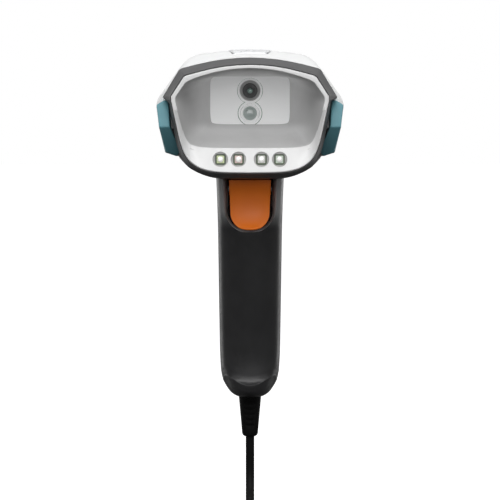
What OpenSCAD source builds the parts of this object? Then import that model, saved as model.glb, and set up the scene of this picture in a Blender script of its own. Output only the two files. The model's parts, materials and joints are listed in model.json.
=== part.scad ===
// Hand-held two-dimensional code reader: a wide nose with a lit cone, a pistol grip with a
// trigger, and a fixed lead that ends in a USB-A plug. Millimetres, +Z up, the nose faces -Y.
// The origin is the middle of the grip, on the grip's own axis.

/* [Nose] */
// Where the rim of the nose lies in front of the grip
rim_y = -70; // [-74:0.5:-68]
// Depth from the rim to the lit panel at the end of the cone
cone_depth = 45; // [42:0.5:46]
// Thickness of the cone's walls
cone_wall = 1.8; // [1.4:0.1:2]
// Depth of the flange that carries the white lip
flange = 6.5; // [6.5:0.1:7]
// Distance from the rim to the back edge of the rubber bezel
bezel_depth = 18; // [16:0.5:19]

/* [Nose lights] */
// Height of the row of nose lights
light_z = 71; // [70.5:0.1:71.5]
// Radius of the pocket round each nose light
pocket_r = 3.8; // [3.7:0.1:3.9]
// Side of one square light-emitting diode
led_side = 5; // [4:0.5:5]
// Distance of the inner pair of lights from the middle
light_inner_x = 5.65; // [5.4:0.05:5.8]
// Distance of the outer pair of lights from the middle
light_outer_x = 14.5; // [14:0.1:15]

/* [Optics] */
// Width of the lit panel
panel_w = 41.3; // [40:0.1:42]
// Height of the lit panel
panel_h = 24.7; // [24:0.1:26]
// Height of the lit panel's lower edge
panel_z = 89.2; // [88.8:0.1:89.6]
// Height of the camera's axis
camera_z = 106.6; // [106:0.1:107.2]
// Outer radius of the ring round the camera
camera_ring_r = 6.65; // [6.3:0.05:7]
// Radius of the camera's lens barrel
camera_r = 3.9; // [3.5:0.1:4.2]
// Height of the aimer's axis
aimer_z = 94.9; // [94.4:0.1:95.4]
// Outer radius of the ring round the aimer
aimer_ring_r = 6.35; // [6:0.05:6.5]
// Radius of the aimer's barrel
aimer_r = 4.9; // [4.5:0.1:5]
// Radius of the aimer's window
aimer_glass_r = 3.55; // [3:0.05:3.8]

/* [Head] */
// Wall thickness of the top cover and of the lower housing
head_wall = 2.2; // [1.8:0.1:2.4]
// Height of the joint between the top cover and the lower housing
split_z = 86; // [84:0.5:87]

/* [Grip] */
// Wall thickness of the grip's shells
grip_wall = 2.4; // [2:0.1:2.6]
// How far the grip's axis moves back for each millimetre down
grip_lean = 0.2133; // [0.2:0.001:0.22]
// Half the width of the recess round the trigger
recess_half = 13.2; // [13:0.1:13.4]
// Height of the recess's lower end
recess_z = 32.6; // [31.6:0.1:32.8]

/* [Trigger] */
// Half the width of the trigger at its top
trigger_half = 11; // [10.6:0.1:11]
// Height of the trigger's pin
pivot_z = 55.5; // [55:0.1:56]
// Depth of the trigger's pin
pivot_y = -17; // [-17.5:0.1:-16.5]
// Radius of the trigger's pin
pin_r = 1.5; // [1.2:0.1:1.6]
// Running clearance between the pin and the trigger
pin_gap = 0.05; // [0.03:0.01:0.08]

/* [Lead] */
// Outer diameter of the lead
cord_d = 4.8; // [4.5:0.1:4.8]
// Length of the moulded strain relief under the grip
relief_len = 23.3; // [22:0.1:25]
// Radius of the strain relief at the grip
relief_top_r = 6.3; // [6:0.05:6.4]
// Radius of the strain relief at its tip
relief_tip_r = 4.3; // [4:0.05:4.4]
// Length of the straight runs of the tied hank
hank_run = 50; // [48:1:54]
// Radius of the hank's inner turns, on the cord's centre line
hank_inner_r = 14.4; // [14.4:0.1:15]
// Height of the top of the hank
hank_top_z = -122; // [-124:0.5:-121]

/* [Hidden] */

panel_y = rim_y + cone_depth;
flange_y = rim_y + flange;
bezel_y = rim_y + bezel_depth;
neck_y = bezel_y - 7;
light_xs = [-light_outer_x, -light_inner_x, light_inner_x, light_outer_x];
grip_bottom_z = -59.5;
cord_r = cord_d / 2;
cord_y = 12.4;
relief_end_z = grip_bottom_z - relief_len;

// Corners of the nose's outlines, from the top to the floor. A short upright facet lies at the
// widest place, and the step under it seats the bumper.
lip = [[0, 116.8], [32, 111.4], [38.4, 101.6], [38.4, 99.4], [37.9, 97], [32.6, 72.2], [22.5, 64.8],
  [0, 64.2]];
cavity = [[0, 115.1], [30.6, 109.2], [36.3, 101.2], [36.3, 99], [35.7, 96.5], [31.4, 79], [24, 76.6],
  [0, 76.5]];
bezel = [[0, 120.9], [34.6, 115.5], [42.8, 102], [42.8, 101], [40.3, 100.8], [34.8, 69.6], [22, 62],
  [0, 61.6]];
// Share of each edge that its rounded corner takes
crisp = [0.75, 0.07, 0.05, 0.12, 0.08, 0.42, 0.45, 0.45];
soft = [0.75, 0.22, 0.3, 0.3, 0.1, 0.36, 0.45, 0.45];
square = [0.4, 0.45, 0.45, 0.1, 0.1, 0.45, 0.45, 0.4];
softness = [0.75, 0.2, 0.16, 0.42, 0.45, 0.45];

// The head behind the bezel: depth, then the six corners of that section
head_sections = [
  [-52, [[0, 122], [34.9, 116.3], [44.9, 101.7], [35.4, 70.2], [22.5, 62.1], [0, 61.7]]],
  [-44, [[0, 123.8], [34, 119.2], [46.6, 101.2], [37.2, 71.6], [23.5, 61.7], [0, 61.2]]],
  [-33, [[0, 126.2], [32.2, 123], [48.8, 100.4], [38.8, 73.2], [24, 61.2], [0, 60.6]]],
  [-20, [[0, 127.9], [31, 125.3], [50, 99.5], [39.5, 74], [24, 61], [0, 60.2]]],
  [-4, [[0, 127.9], [30.4, 124.9], [49.2, 98.2], [39, 74.8], [23.8, 61.4], [0, 60.5]]],
  [12, [[0, 126], [29, 122.4], [46, 96.6], [37, 76], [22.8, 63.4], [0, 62.4]]],
  [26, [[0, 122], [26, 118], [41, 95], [33, 77.6], [20.6, 67], [0, 66]]],
  [36, [[0, 116.6], [21.6, 112.6], [34.4, 93.4], [27.8, 79.4], [17.4, 71.4], [0, 70.5]]],
  [43, [[0, 109.4], [15.4, 106], [25, 92], [20.4, 82], [12.6, 76.8], [0, 76.2]]],
  [46.5, [[0, 102], [8.6, 100], [14.4, 91.2], [12, 85.6], [7.4, 82.4], [0, 82]]]];

// The grip from top to bottom: height, front, back, half width
grip_sections = [
  [76, -31.4, 8, 18.3], [62, -30.6, 8.4, 17.9], [50, -29.2, 9.6, 17.5], [42, -27.2, 10.7, 17.3],
  [34, -24.4, 11.8, 17.2], [12, -19.6, 15.6, 17], [-12, -14.6, 20, 16.8], [-30, -11, 23.4, 16.6],
  [-38, -10.6, 24.9, 16.4], [-43, -10.9, 25.7, 16.2], [-47, -12.2, 26.3, 15.7], [-50, -14.4, 26.6, 15.1],
  [-51.2, -15.2, 26.6, 14.7], [-52.5, -15, 26.5, 14.1], [-55, -13.4, 25.8, 12.6],
  [-57.4, -8, 24.4, 10.6], [grip_bottom_z, 2.5, 21.5, 7.4]];
// The sections are squarer beside the trigger than where the hand closes round the grip
function grip_power(z) = 2.5 + 1.6 * min(1, max(0, (z - 36) / 10));
// The joint between the grip's shells lies a little behind its axis
seam = 0.3;

function mix(a, b, t) = a + (b - a) * t;
function curve(a, b, c, t) = mix(mix(a, b, t), mix(b, c, t), t);
// Both halves of a section, from its right half and from the softness of each corner. The first
// corner is raised so that the rounded top keeps its height.
function raised(half, share) = concat([[0, (half[0].y - share * half[1].y) / (1 - share)]],
  [for (i = [1:len(half) - 1]) half[i]]);
function whole(half) = concat(half, [for (i = [len(half) - 2:-1:1]) [-half[i].x, half[i].y]]);
function whole_soft(half) = concat(half, [for (i = [len(half) - 2:-1:1]) half[i]]);
function rounded(half, soft, steps = 4) =
  let (p = whole(raised(half, soft[0] / 2)), s = whole_soft(soft), n = len(p))
  [for (i = [0:n - 1])
    let (a = mix(p[i], p[(i + n - 1) % n], s[i]), c = mix(p[i], p[(i + 1) % n], s[i]))
    for (k = [0:steps]) curve(a, p[i], c, k / steps)];
// A flat ring moved to depth y, and the same ring drawn in by a wall's thickness
function at_y(ring, y) = [for (i = [len(ring) - 1:-1:0]) [ring[i].x, y, ring[i].y]];
function widest(ring) = max([for (p = ring) p.x]);
function top_of(ring) = max([for (p = ring) p.y]);
function bottom_of(ring) = min([for (p = ring) p.y]);
function inset(ring, wall) =
  let (top = top_of(ring), bottom = bottom_of(ring), middle = (top + bottom) / 2,
    sx = 1 - wall / widest(ring), sz = 1 - 2 * wall / (top - bottom))
  [for (p = ring) [p.x * sx, middle + (p.y - middle) * sz]];
// One ring of the grip, a rounded oval that is deeper at the back than at the front
function grip_ring(s, wall = 0, steps = 40) =
  let (axis = -grip_lean * s[0], front = axis - s[1] - wall, back = s[2] - axis - wall)
  [for (i = [0:steps - 1])
    let (a = 360 * i / steps, c = cos(a), q = sin(a), power = 2 / grip_power(s[0]))
    [(s[3] - wall) * sign(c) * pow(abs(c), power),
     axis + (q > 0 ? back : front) * sign(q) * pow(abs(q), power), s[0]]];
// A round tube along a path in a plane of constant x
function tube_ring(p, t, r, sides) =
  let (u = cross([1, 0, 0], t / norm(t)))
  [for (i = [0:sides - 1]) p + r * (cos(360 * i / sides) * [1, 0, 0] + sin(360 * i / sides) * u)];

// A closed solid through rings that have the same number of points
module loft(rings) {
  n = len(rings[0]);
  last = len(rings) - 1;
  sides = [for (r = [0:last - 1]) for (i = [0:n - 1]) let (j = (i + 1) % n)
    each [[r * n + i, r * n + j, (r + 1) * n + j], [r * n + i, (r + 1) * n + j, (r + 1) * n + i]]];
  start = [for (i = [n - 1:-1:0]) i];
  end = [for (i = [0:n - 1]) last * n + i];
  polyhedron(points = [for (r = rings) each r], faces = concat([start], sides, [end]));
}
// Shells and skins are worked out as one closed surface
module skin() resize([0, 0, 0]) children();
module tube(path, r, sides = 8) {
  last = len(path) - 1;
  loft([for (i = [0:last])
    tube_ring(path[i], path[min(i + 1, last)] - path[max(i - 1, 0)], r, sides)]);
}
// A rod along Y, and a rod along X
module rod_y(x, z, y0, y1, r, sides = 40) translate([x, y0, z]) rotate([-90, 0, 0])
  cylinder(h = y1 - y0, r = r, $fn = sides);
module rod_x(x0, x1, y, z, r) translate([x0, y, z]) rotate([0, 90, 0]) cylinder(h = x1 - x0, r = r, $fn = 40);
// A box from its lowest to its highest corner
module block(a, b) translate(a) cube(b - a);
// A flat outline in Y and Z, given a width about x = 0
module slab(outline, width) translate([-width / 2, 0, 0]) rotate([90, 0, 90])
  linear_extrude(width) polygon(outline);

// ---- Head -------------------------------------------------------------------------------------

// The head's outer form behind the bezel, and the same form drawn in by the wall
module head_form(wall = 0) {
  loft([for (s = head_sections)
    at_y(inset(rounded(s[1], softness), wall), s[0] - (s[0] > 30 ? wall : 0))]);
}
// The neck that slides into the bezel, from neck_y to the first section
module neck_form(wall) {
  outline = inset(rounded(bezel, crisp), wall);
  loft([at_y(outline, neck_y), at_y(outline, bezel_y + 1)]);
}
// The hollow head with its neck
module head_hull() {
  difference() {
    union() {
      head_form();
      neck_form(2);
    }
    head_form(head_wall);
    neck_form(2 + head_wall);
    inner = inset(rounded(head_sections[0][1], softness), 2 + head_wall);
    loft([at_y(inner, neck_y - 1), at_y(inner, bezel_y + 2)]);
  }
}

screw_spots = [[-33, -30], [33, -30], [-21, 24], [21, 24]];
board_posts = [[-13, 1], [13, 1], [-13, 31], [13, 31]];
board_half = 16;
board_z = 84;
boss_r = 4;
boss_top_z = 100;
screw_core_r = 1.3;
head_screw_r = 2.4;
head_screw_h = 1.6;
// Radius of the six-sided socket in every screw's head
socket_r = 1.1;
indicator_front_y = -40;
indicator_back_y = -14;
indicator_front_half = 8;
indicator_back_half = 12;
indicator_post_x = 14.2;
indicator_base_z = 121;
wire_hole_half = 8;

module bosses(z0, z1) {
  for (s = screw_spots) translate([s.x, s.y, z0]) cylinder(h = z1 - z0, r = boss_r, $fn = 24);
}
module screw_cores() {
  for (s = screw_spots) translate([s.x, s.y, 55]) cylinder(h = boss_top_z - 57, r = screw_core_r, $fn = 24);
}
// Height of the seat under each screw's head, and the wells the heads are sunk in
function screw_seat(s) = s.y < 0 ? 72 : 71;
module screw_wells() {
  for (s = screw_spots) translate([s.x, s.y, 50])
    cylinder(h = screw_seat(s) + head_screw_h - 50, r = head_screw_r + 0.2, $fn = 24);
}
module head_bay(z0, z1) block([-60, neck_y - 5, z0], [60, 60, z1]);

// The status pad seen from above, narrower in front, with a margin at its sides and at its ends
module indicator_form(side, end, z) {
  front = indicator_front_half + side;
  back = indicator_back_half + side;
  translate([0, 0, z]) linear_extrude(135 - z) polygon([[-front, indicator_front_y - end],
    [front, indicator_front_y - end], [back, indicator_back_y + end], [-back, indicator_back_y + end]]);
}
module top_cover() color("#eceeee") skin() difference() {
  intersection() {
    union() {
      head_hull();
      intersection() {
        head_form(0.5);
        union() {
          bosses(split_z, 130);
          for (x = [-indicator_post_x, indicator_post_x], y = [indicator_front_y + 5, indicator_back_y - 5])
            translate([x, y, indicator_base_z]) cylinder(h = 8, r = 1.6, $fn = 24);
        }
      }
    }
    head_bay(split_z, 140);
  }
  screw_cores();
  indicator_form(1.2, 0.1, 122.2);
}
module lower_housing() color("#303236") skin() difference() {
  intersection() {
    union() {
      head_hull();
      intersection() {
        head_form(0.5);
        union() {
          bosses(50, split_z);
          for (p = board_posts) translate([p.x, p.y, 55]) cylinder(h = board_z - 55, r = 2.5, $fn = 24);
        }
      }
    }
    head_bay(50, split_z);
  }
  screw_cores();
  screw_wells();
  block([-wire_hole_half, -7, 50], [wire_hole_half, 7, 64]);
}
// Screws from below, with their heads sunk in the housing's underside
module head_screws() color("#5d6064") for (s = screw_spots)
  translate([s.x, s.y, screw_seat(s)]) difference() {
    union() {
      cylinder(h = head_screw_h - 0.05, r = head_screw_r, $fn = 24);
      cylinder(h = boss_top_z - screw_seat(s) - 4, r = screw_core_r - 0.05, $fn = 24);
    }
    translate([0, 0, -1]) cylinder(h = 1.9, r = socket_r, $fn = 6);
  }

// The rubber ring round the nose
module nose_bezel() color("#3b3c3e") skin() difference() {
  rim = rounded(lip, crisp);
  edge = rounded(bezel, crisp);
  loft([at_y(inset(rim, -0.9), rim_y + 0.5), at_y(edge, rim_y + 8), at_y(edge, bezel_y)]);
  loft([at_y(inset(rim, -0.1), rim_y - 1), at_y(inset(rim, -0.1), flange_y + 0.2)]);
  loft([at_y(inset(edge, 1.9), flange_y), at_y(inset(edge, 1.9), bezel_y + 1)]);
}
module bezel_gasket() color("#1c1d1f") skin() difference() {
  edge = rounded(bezel, crisp);
  loft([at_y(inset(edge, 2.1), neck_y - 1.6), at_y(inset(edge, 2.1), neck_y)]);
  loft([at_y(inset(edge, 3.9), neck_y - 2), at_y(inset(edge, 3.9), neck_y + 1)]);
}

// Rubber guard on the widest part of the nose: its outline on the right, front to back
guard = [[36, 100], [42.6, 100.2], [46.2, 98], [44.8, 86.9], [41.8, 74.4], [36.8, 72.5], [33.6, 73.4]];
function guard_ring(y, grow) = at_y([for (p = guard) [p.x > 36 ? p.x + grow : p.x, p.y]], y);
module guard_solid() skin() difference() {
  loft([guard_ring(-62, -2.4), guard_ring(-59.5, 0), guard_ring(-50, 0.6), guard_ring(-38, 1.2),
    guard_ring(-34, 0.4)]);
  outline = rounded(bezel, crisp);
  loft([at_y(inset(outline, -0.05), rim_y), at_y(inset(outline, -0.05), bezel_y)]);
  head_form(-0.05);
}
module bumper_right() color("#4c8c99") guard_solid();
module bumper_left() color("#4c8c99") mirror([1, 0, 0]) guard_solid();

// ---- Cone and optics ---------------------------------------------------------------------------

panel_half = panel_w / 2;
panel_top = panel_z + panel_h;
collar_y = panel_y + 5.4;
light_board_y = -63.4;
panel_board_y = -19.6;
chassis_y = -18;
imager_y = -5.8;

// The lit panel's outline, grown by a margin, with as many corners as the lip
function panel_ring(grow) =
  let (w = panel_half + grow, top = panel_top + grow, low = panel_z - grow, cut = 1.8,
    mid = (top + low) / 2 + 3)
  rounded([[0, top], [w - cut, top], [w, top - cut], [w, mid], [w, mid - 1], [w, low + cut], [w - cut, low],
    [0, low]], square);

module light_cone() color("#f2f3f2") skin() difference() {
  mouth = rounded(cavity, soft);
  rim = rounded(lip, crisp);
  union() {
    loft([at_y(rim, rim_y), at_y(rim, flange_y)]);
    loft([at_y(inset(mouth, -cone_wall), flange_y - 1), at_y(panel_ring(cone_wall), panel_y),
      at_y(panel_ring(cone_wall), collar_y)]);
  }
  reach = 0.5;
  loft([at_y(inset(mouth, -0.1), rim_y - reach), at_y(mouth, rim_y), at_y(panel_ring(0), panel_y),
    at_y(panel_ring(0), collar_y + 1)]);
  loft([at_y(panel_ring(0.6), panel_y), at_y(panel_ring(0.6), collar_y + 1)]);
  // The lower face leans back towards the cone
  translate([-30, rim_y, 66]) rotate([20, 0, 0]) translate([0, -8, 0]) cube([60, 8, 11.5]);
  for (x = light_xs) rod_y(x, light_z, rim_y - 1, flange_y + 1, pocket_r);
}
module eyes(y0, y1, grow = 0) {
  rod_y(0, camera_z, y0, y1, camera_ring_r + grow);
  rod_y(0, aimer_z, y0, y1, aimer_ring_r + grow);
}
module diffuser_panel() color("#d3d6d6") difference() {
  thick = 2;
  translate([0, panel_y + thick, 0]) rotate([90, 0, 0]) linear_extrude(thick) polygon(panel_ring(0.5));
  eyes(panel_y - 1, panel_y + 3, 0.05);
}
module lens_surround() color("#b9bcbc") difference() {
  intersection() {
    eyes(panel_y - 1, panel_board_y);
    block([-15, panel_y - 2, panel_z], [15, 0, 120]);
  }
  rod_y(0, camera_z, panel_y - 2, panel_board_y + 1, camera_r + 0.05);
  rod_y(0, aimer_z, panel_y - 2, panel_board_y + 1, aimer_r + 0.05);
}
// A barrel along Y with a seat for its window at the front
module barrel(z, r, seat_r, seat_deep, back_y) difference() {
  rod_y(0, z, panel_y, back_y, r);
  rod_y(0, z, panel_y - 1, panel_y + seat_deep, seat_r);
  rod_y(0, z, panel_y, back_y + 1, seat_r - 0.7);
}
camera_lens_r = camera_r - 0.8;
module camera_barrel() color("#101112") barrel(camera_z, camera_r, camera_lens_r, 2, imager_y - 2);
module camera_lens() color("#223a35") translate([0, panel_y + 0.4, camera_z]) rotate([-90, 0, 0])
  rotate_extrude($fn = 48) polygon([[0, 0], [1.2, 0.08], [2.2, 0.3], [camera_lens_r, 0.7],
    [camera_lens_r, 1.6], [0, 1.6]]);
module aimer_barrel() color("#c9cccc") barrel(aimer_z, aimer_r, aimer_glass_r, 1.6, imager_y - 2);
module aimer_window() color("#8fa59c") rod_y(0, aimer_z, panel_y + 0.4, panel_y + 1.6, aimer_glass_r);
module optics_block() color("#26282a") difference() {
  block([-13, chassis_y, 89], [13, imager_y, 114]);
  rod_y(0, camera_z, chassis_y - 1, imager_y + 1, camera_r + 0.05);
  rod_y(0, aimer_z, chassis_y - 1, imager_y + 1, aimer_r + 0.05);
}
module imager_board() color("#1f6b3f") block([-15, imager_y, 87], [15, imager_y + 1.2, 116]);
module image_sensor() color("#2a2f3a") block([-3, imager_y - 1, camera_z - 2], [3, imager_y, camera_z + 2]);

module panel_light_board() color("#1f6b3f") difference() {
  block([-panel_half, panel_board_y, panel_z + 0.3], [panel_half, chassis_y, panel_top - 0.3]);
  rod_y(0, camera_z, panel_board_y - 1, chassis_y + 1, camera_r + 0.2);
  rod_y(0, aimer_z, panel_board_y - 1, chassis_y + 1, aimer_r + 0.2);
}
module panel_leds() color("#f4edc8")
  for (side = [-1, 1], x = [10, 16], z = [94, 102, 110])
    translate([side * x - 1.4, panel_board_y - 0.8, z - 1.4]) cube([2.8, 0.8, 2.8]);
module nose_light_board() color("#1f6b3f")
  block([-22, light_board_y, 66.8], [22, light_board_y + 1.2, 74.2]);
module nose_leds() color("#f1efcf") for (x = light_xs)
  translate([x - led_side / 2, light_board_y - 1.6, light_z - led_side / 2]) cube([led_side, 1.6, led_side]);

module indicator_window() color("#f6f7f7") skin() intersection() {
  head_form(-0.9);
  union() {
    indicator_form(0, 0, 124.6);
    block([-5, indicator_front_y + 6, 122.6], [5, indicator_back_y - 6, 125]);
  }
}
module indicator_board() color("#1f6b3f") block([-15.8, indicator_front_y + 3, indicator_base_z - 1.2],
  [15.8, indicator_back_y - 3, indicator_base_z]);

// ---- Electronics in the head -------------------------------------------------------------------

board_top = board_z + 1.6;
board_front = -2;
module main_board() color("#1f6b3f") block([-board_half, board_front, board_z], [board_half, 34, board_top]);
module board_chips() color("#222428") {
  for (c = [[-2, 12, 12, 12, 1.4], [12, 8, 7, 8, 1.1], [-11.8, 3.4, 7, 5, 1.2], [10, 26, 6, 5, 1.2]])
    translate([c[0] - c[2] / 2, c[1] - c[3] / 2, board_top]) cube([c[2], c[3], c[4]]);
}
module beeper() color("#17181a") translate([-3, 26, board_top]) difference() {
  cylinder(h = 5.5, r = 6, $fn = 48);
  translate([0, 0, 4]) cylinder(h = 3, r = 1, $fn = 24);
}
flex_half = 6;
module imager_flex() color("#c98b2f") {
  y = imager_y + 1.2;
  slab([[y, 90], [y + 0.3, 90], [y + 0.3, 88.2], [y + 1.8, board_top + 0.3], [y + 7, board_top + 0.3],
    [y + 7, board_top], [y + 1.6, board_top], [y, 88]], 2 * flex_half);
}

// ---- Grip --------------------------------------------------------------------------------------

// The grip's outer form, and the same form drawn in by the wall, with a floor as thick as the wall
module grip_form(wall = 0) loft([for (s = grip_sections)
  let (floor_share = min(1, max(0, (-45 - s[0]) / 10)))
  grip_ring([s[0] + wall * floor_share, s[1], s[2], s[3]], wall)]);
// Everything in front of the plane through the grip's axis, or everything behind it
module grip_side(front) rotate([atan(grip_lean), 0, 0])
  block([-40, front ? -60 : seam, -120], [40, front ? seam : 60, 120]);
module recess() translate([0, -14, 0]) rotate([90, 0, 0]) linear_extrude(40) {
  bend_r = 11;
  hull() for (s = [-1, 1]) {
    translate([s * (recess_half - bend_r), recess_z + bend_r]) circle(r = bend_r, $fn = 48);
    translate([s * (recess_half - 1), 80]) circle(r = 1, $fn = 24);
  }
}
grip_screw_zs = [22, -34];
grip_screw_x = 11;
grip_screw_r = 1.2;
grip_head_r = 2.1;
// Depth behind the grip's axis of the seat under each screw's head
grip_seat = 9.5;
// Rods on the axes of the grip's screws, between two depths behind the grip's axis
module grip_rods(front, back, r, sides = 40) for (z = grip_screw_zs, s = [-1, 1])
  rod_y(s * grip_screw_x, z, -grip_lean * z + front, -grip_lean * z + back, r, sides);
module grip_shell() difference() {
  union() {
    difference() {
      grip_form();
      grip_form(grip_wall);
    }
    intersection() {
      grip_form(0.5);
      grip_rods(-30, 30, 3.2);
    }
  }
  head_form(-0.02);
  recess();
  grip_rods(-8, 30, grip_screw_r);
  grip_rods(grip_seat, 30, grip_head_r + 0.2);
  translate([0, cord_y, grip_bottom_z - 5]) cylinder(h = 12, r = relief_top_r + 0.1, $fn = 48);
}
module grip_front() color("#2b2c2e") skin() intersection() {
  grip_shell();
  grip_side(true);
}
module grip_rear() color("#2b2c2e") skin() intersection() {
  grip_shell();
  grip_side(false);
}
module grip_screws() color("#5d6064") difference() {
  union() {
    grip_rods(-7, grip_seat + 1, grip_screw_r - 0.05);
    grip_rods(grip_seat + 0.05, grip_seat + 1.5, grip_head_r);
  }
  grip_rods(grip_seat + 0.5, grip_seat + 3, socket_r, 6);
}

// ---- Trigger -----------------------------------------------------------------------------------

trigger_face = [[-29, 59.4], [-27.9, 54], [-27.3, 48], [-27.8, 43], [-29.1, 38.4], [-30.9, 34.2]];
trigger_back = [[-28, 33.8], [-22.5, 37], [-19, 43], [-14, 50.5], [-13.4, 57.6], [-17, 58.8]];
trigger_skin = 2.6;
post_z = 48;
plunger_tip_y = -15.1;
spring_z = 41.5;
spring_front_y = -25.4;
spring_back_y = -14;
carrier_y = -8;
cheek_x = 11.5;
cheek_z = 46;

module trigger() color("#d9691e") difference() {
  union() {
    difference() {
      intersection() {
        slab(concat(trigger_face, trigger_back), 2 * trigger_half);
        translate([0, -5, 0]) rotate([90, 0, 0]) linear_extrude(40) hull() {
          for (s = [-1, 1]) translate([s * 1.2, recess_z + 1.9 + 9]) circle(r = 9, $fn = 48);
          translate([-trigger_half, 62]) square([2 * trigger_half, 1]);
        }
      }
      hollow = [for (p = trigger_face) [p.x + trigger_skin, p.y]];
      slab(concat([[hollow[0].x, 70]], [for (i = [1:4]) hollow[i]], [[-5, 36], [-5, 70]]),
        2 * trigger_half - 4);
    }
    rod_x(-trigger_half, trigger_half, pivot_y, pivot_z, pin_r + 1.9);
    block([-trigger_half + 1, pivot_y - 9, pivot_z - 1], [trigger_half - 1, pivot_y, pivot_z + 1]);
    rod_y(0, post_z, -26, plunger_tip_y - 0.15, 0.9);
    rod_y(0, spring_z, -26.5, spring_front_y, 3.4);
  }
  rod_x(-trigger_half - 1, trigger_half + 1, pivot_y, pivot_z, pin_r + pin_gap);
}
module trigger_pin() color("#b9bcc0") rod_x(-cheek_x - 1.8, cheek_x + 1.8, pivot_y, pivot_z, pin_r);
spring_turns = 6;
spring_r = 2.6;
wire_r = 0.28;
module trigger_spring() color("#c3c6ca") {
  steps = 12;
  count = spring_turns * steps;
  loft([for (i = [0:count])
    let (a = 360 * i / steps, out = [cos(a), 0, sin(a)],
      y = mix(spring_front_y + wire_r, spring_back_y - wire_r, i / count))
    [for (k = [0:5])
      [0, y, spring_z] + out * (spring_r + wire_r * cos(60 * k)) - [0, wire_r * sin(60 * k), 0]]]);
}
module trigger_carrier() color("#3a3d42") difference() {
  union() {
    for (s = [-1, 1]) translate([s * (cheek_x + 0.9) - 0.9, pivot_y - 3, cheek_z])
      cube([1.8, 12, 59 - cheek_z]);
    block([-cheek_x - 1.8, carrier_y, 30], [cheek_x + 1.8, carrier_y + 2, 59]);
    rod_y(0, spring_z, spring_back_y, carrier_y, 3);
  }
  rod_x(-20, 20, pivot_y, pivot_z, pin_r);
}
module switch_board() color("#1f6b3f") block([-8, carrier_y - 1.2, 44.5], [8, carrier_y, 57.5]);
module trigger_switch() color("#24262a") difference() {
  block([-3, carrier_y - 4.7, post_z - 3], [3, carrier_y - 1.2, post_z + 3]);
  rod_y(0, post_z, carrier_y - 6, carrier_y - 2, 1.55);
}
module switch_plunger() color("#e4e2d8") rod_y(0, post_z, plunger_tip_y, carrier_y - 3.6, 1.5);

// ---- Lead --------------------------------------------------------------------------------------

inner_route = [[0, cord_y, -53], [0, cord_y, -50], [0, 11.6, -44], [0, 9, -30], [0, 5.5, -12], [0, 2.4, 6],
  [0, -0.4, 26], [0, -1.4, 44], [0, -0.6, 56], [0, 2, 66], [0, 6, 73], [0, 10, 76.4], [0, 13, 77.5],
  [0, 16, 77.5]];
module inner_lead() color("#1d1e20") tube(inner_route, 2);
module lead_plug() color("#e7e3d4") block([-5, 16, 75], [5, 24, board_z]);
module cable_clamp() color("#3a3d42") difference() {
  block([-9, cord_y - 9, -49.5], [9, cord_y + 8, -46.5]);
  hull() tube([[0, cord_y, -51], [0, cord_y, -50], [0, 11.2, -43]], 2.6, 12);
}
flange_top_z = -53;
flange_r = 7.2;
module strain_relief() color("#141516") translate([0, cord_y, 0]) rotate_extrude($fn = 48) {
  step = (relief_len - 4.2) / 6;
  polygon(concat(
    [[0, flange_top_z], [flange_r, flange_top_z], [flange_r, flange_top_z - 2],
      [relief_top_r, flange_top_z - 2], [relief_top_r, grip_bottom_z - 3]],
    [for (i = [0:5])
      let (z = grip_bottom_z - 3 - i * step, r = mix(relief_top_r, relief_tip_r, (i + 0.5) / 6))
      each [[r - 1, z], [r - 1, z - step * 0.35], [r, z - step * 0.35], [r - 0.15, z - step]]],
    [[relief_tip_r - 0.1, relief_end_z], [0, relief_end_z]]));
}

// The free lead: it drops from the strain relief, and the rest is folded into a tied hank
drop_route = [[0, 12.4, -82.8], [0, 12.4, -88], [0, 12.4, -94], [0, 12.4, -100], [0, 12.1, -104],
  [0, 11, -108], [0, 9, -111.5], [0, 6.4, -114], [0, 3.8, -116], [0, 1.8, -118.4], [0, 0.8, -122]];
tail_route = [for (z = [-209, -214, -219, -224, -230]) [-14.4, 24.8, z]];
level = 4.8;
hank_levels = 6;
hank_outer_r = hank_inner_r + level;
hank_reach = hank_outer_r + cord_r;
hank_z = hank_top_z - hank_run / 2 - hank_reach;
hank_front_y = 0.8 - cord_r;
module cord_drop() color("#18191a") tube(drop_route, cord_r);
module cord_hank() color("#18191a") translate([0, hank_front_y, hank_z]) rotate([-90, 0, 0])
  linear_extrude(level * hank_levels) hull()
    for (s = [-1, 1]) translate([0, s * hank_run / 2]) circle(r = hank_reach, $fn = 64);
module cord_tail() color("#18191a") tube(tail_route, cord_r);
tie_half_z = 8;
tie_thick = 1.4;
module cord_tie() color("#24262b") translate([0, hank_front_y + level * hank_levels / 2, hank_z - tie_half_z])
  linear_extrude(2 * tie_half_z) difference() {
    half_x = hank_reach + 0.1;
    half_y = level * hank_levels / 2 + 0.1;
    offset(r = tie_thick) square([2 * half_x, 2 * half_y], center = true);
    square([2 * half_x, 2 * half_y], center = true);
  }

plug_x = tail_route[0].x;
plug_y = tail_route[0].y;
plug_top_z = tail_route[4].z;
plug_body_len = 26;
usb_w = 12;
usb_t = 4.5;
usb_len = 18.8;
module usb_overmould() color("#1b1c1e") translate([plug_x, plug_y, plug_top_z]) mirror([0, 0, 1]) {
  rotate_extrude($fn = 40) polygon([[0, 0], [3.4, 0], [4.2, 8.1], [0, 8.1]]);
  translate([0, 0, 8]) linear_extrude(plug_body_len - 8) offset(r = 1.6) square([12.6, 4.8], center = true);
}
usb_tip_z = plug_top_z - plug_body_len - usb_len;
module usb_shell() color("#b4b7ba") translate([plug_x, plug_y, usb_tip_z]) difference() {
  translate([-usb_w / 2, -usb_t / 2, 0]) cube([usb_w, usb_t, usb_len]);
  translate([-usb_w / 2 + 0.3, -usb_t / 2 + 0.3, -1]) cube([usb_w - 0.6, usb_t - 0.6, usb_len + 2]);
  for (s = [-1, 1]) translate([s * 2.5 - 1.1, -usb_t, 5.6]) cube([2.2, 2 * usb_t, 2.4]);
}
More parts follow.
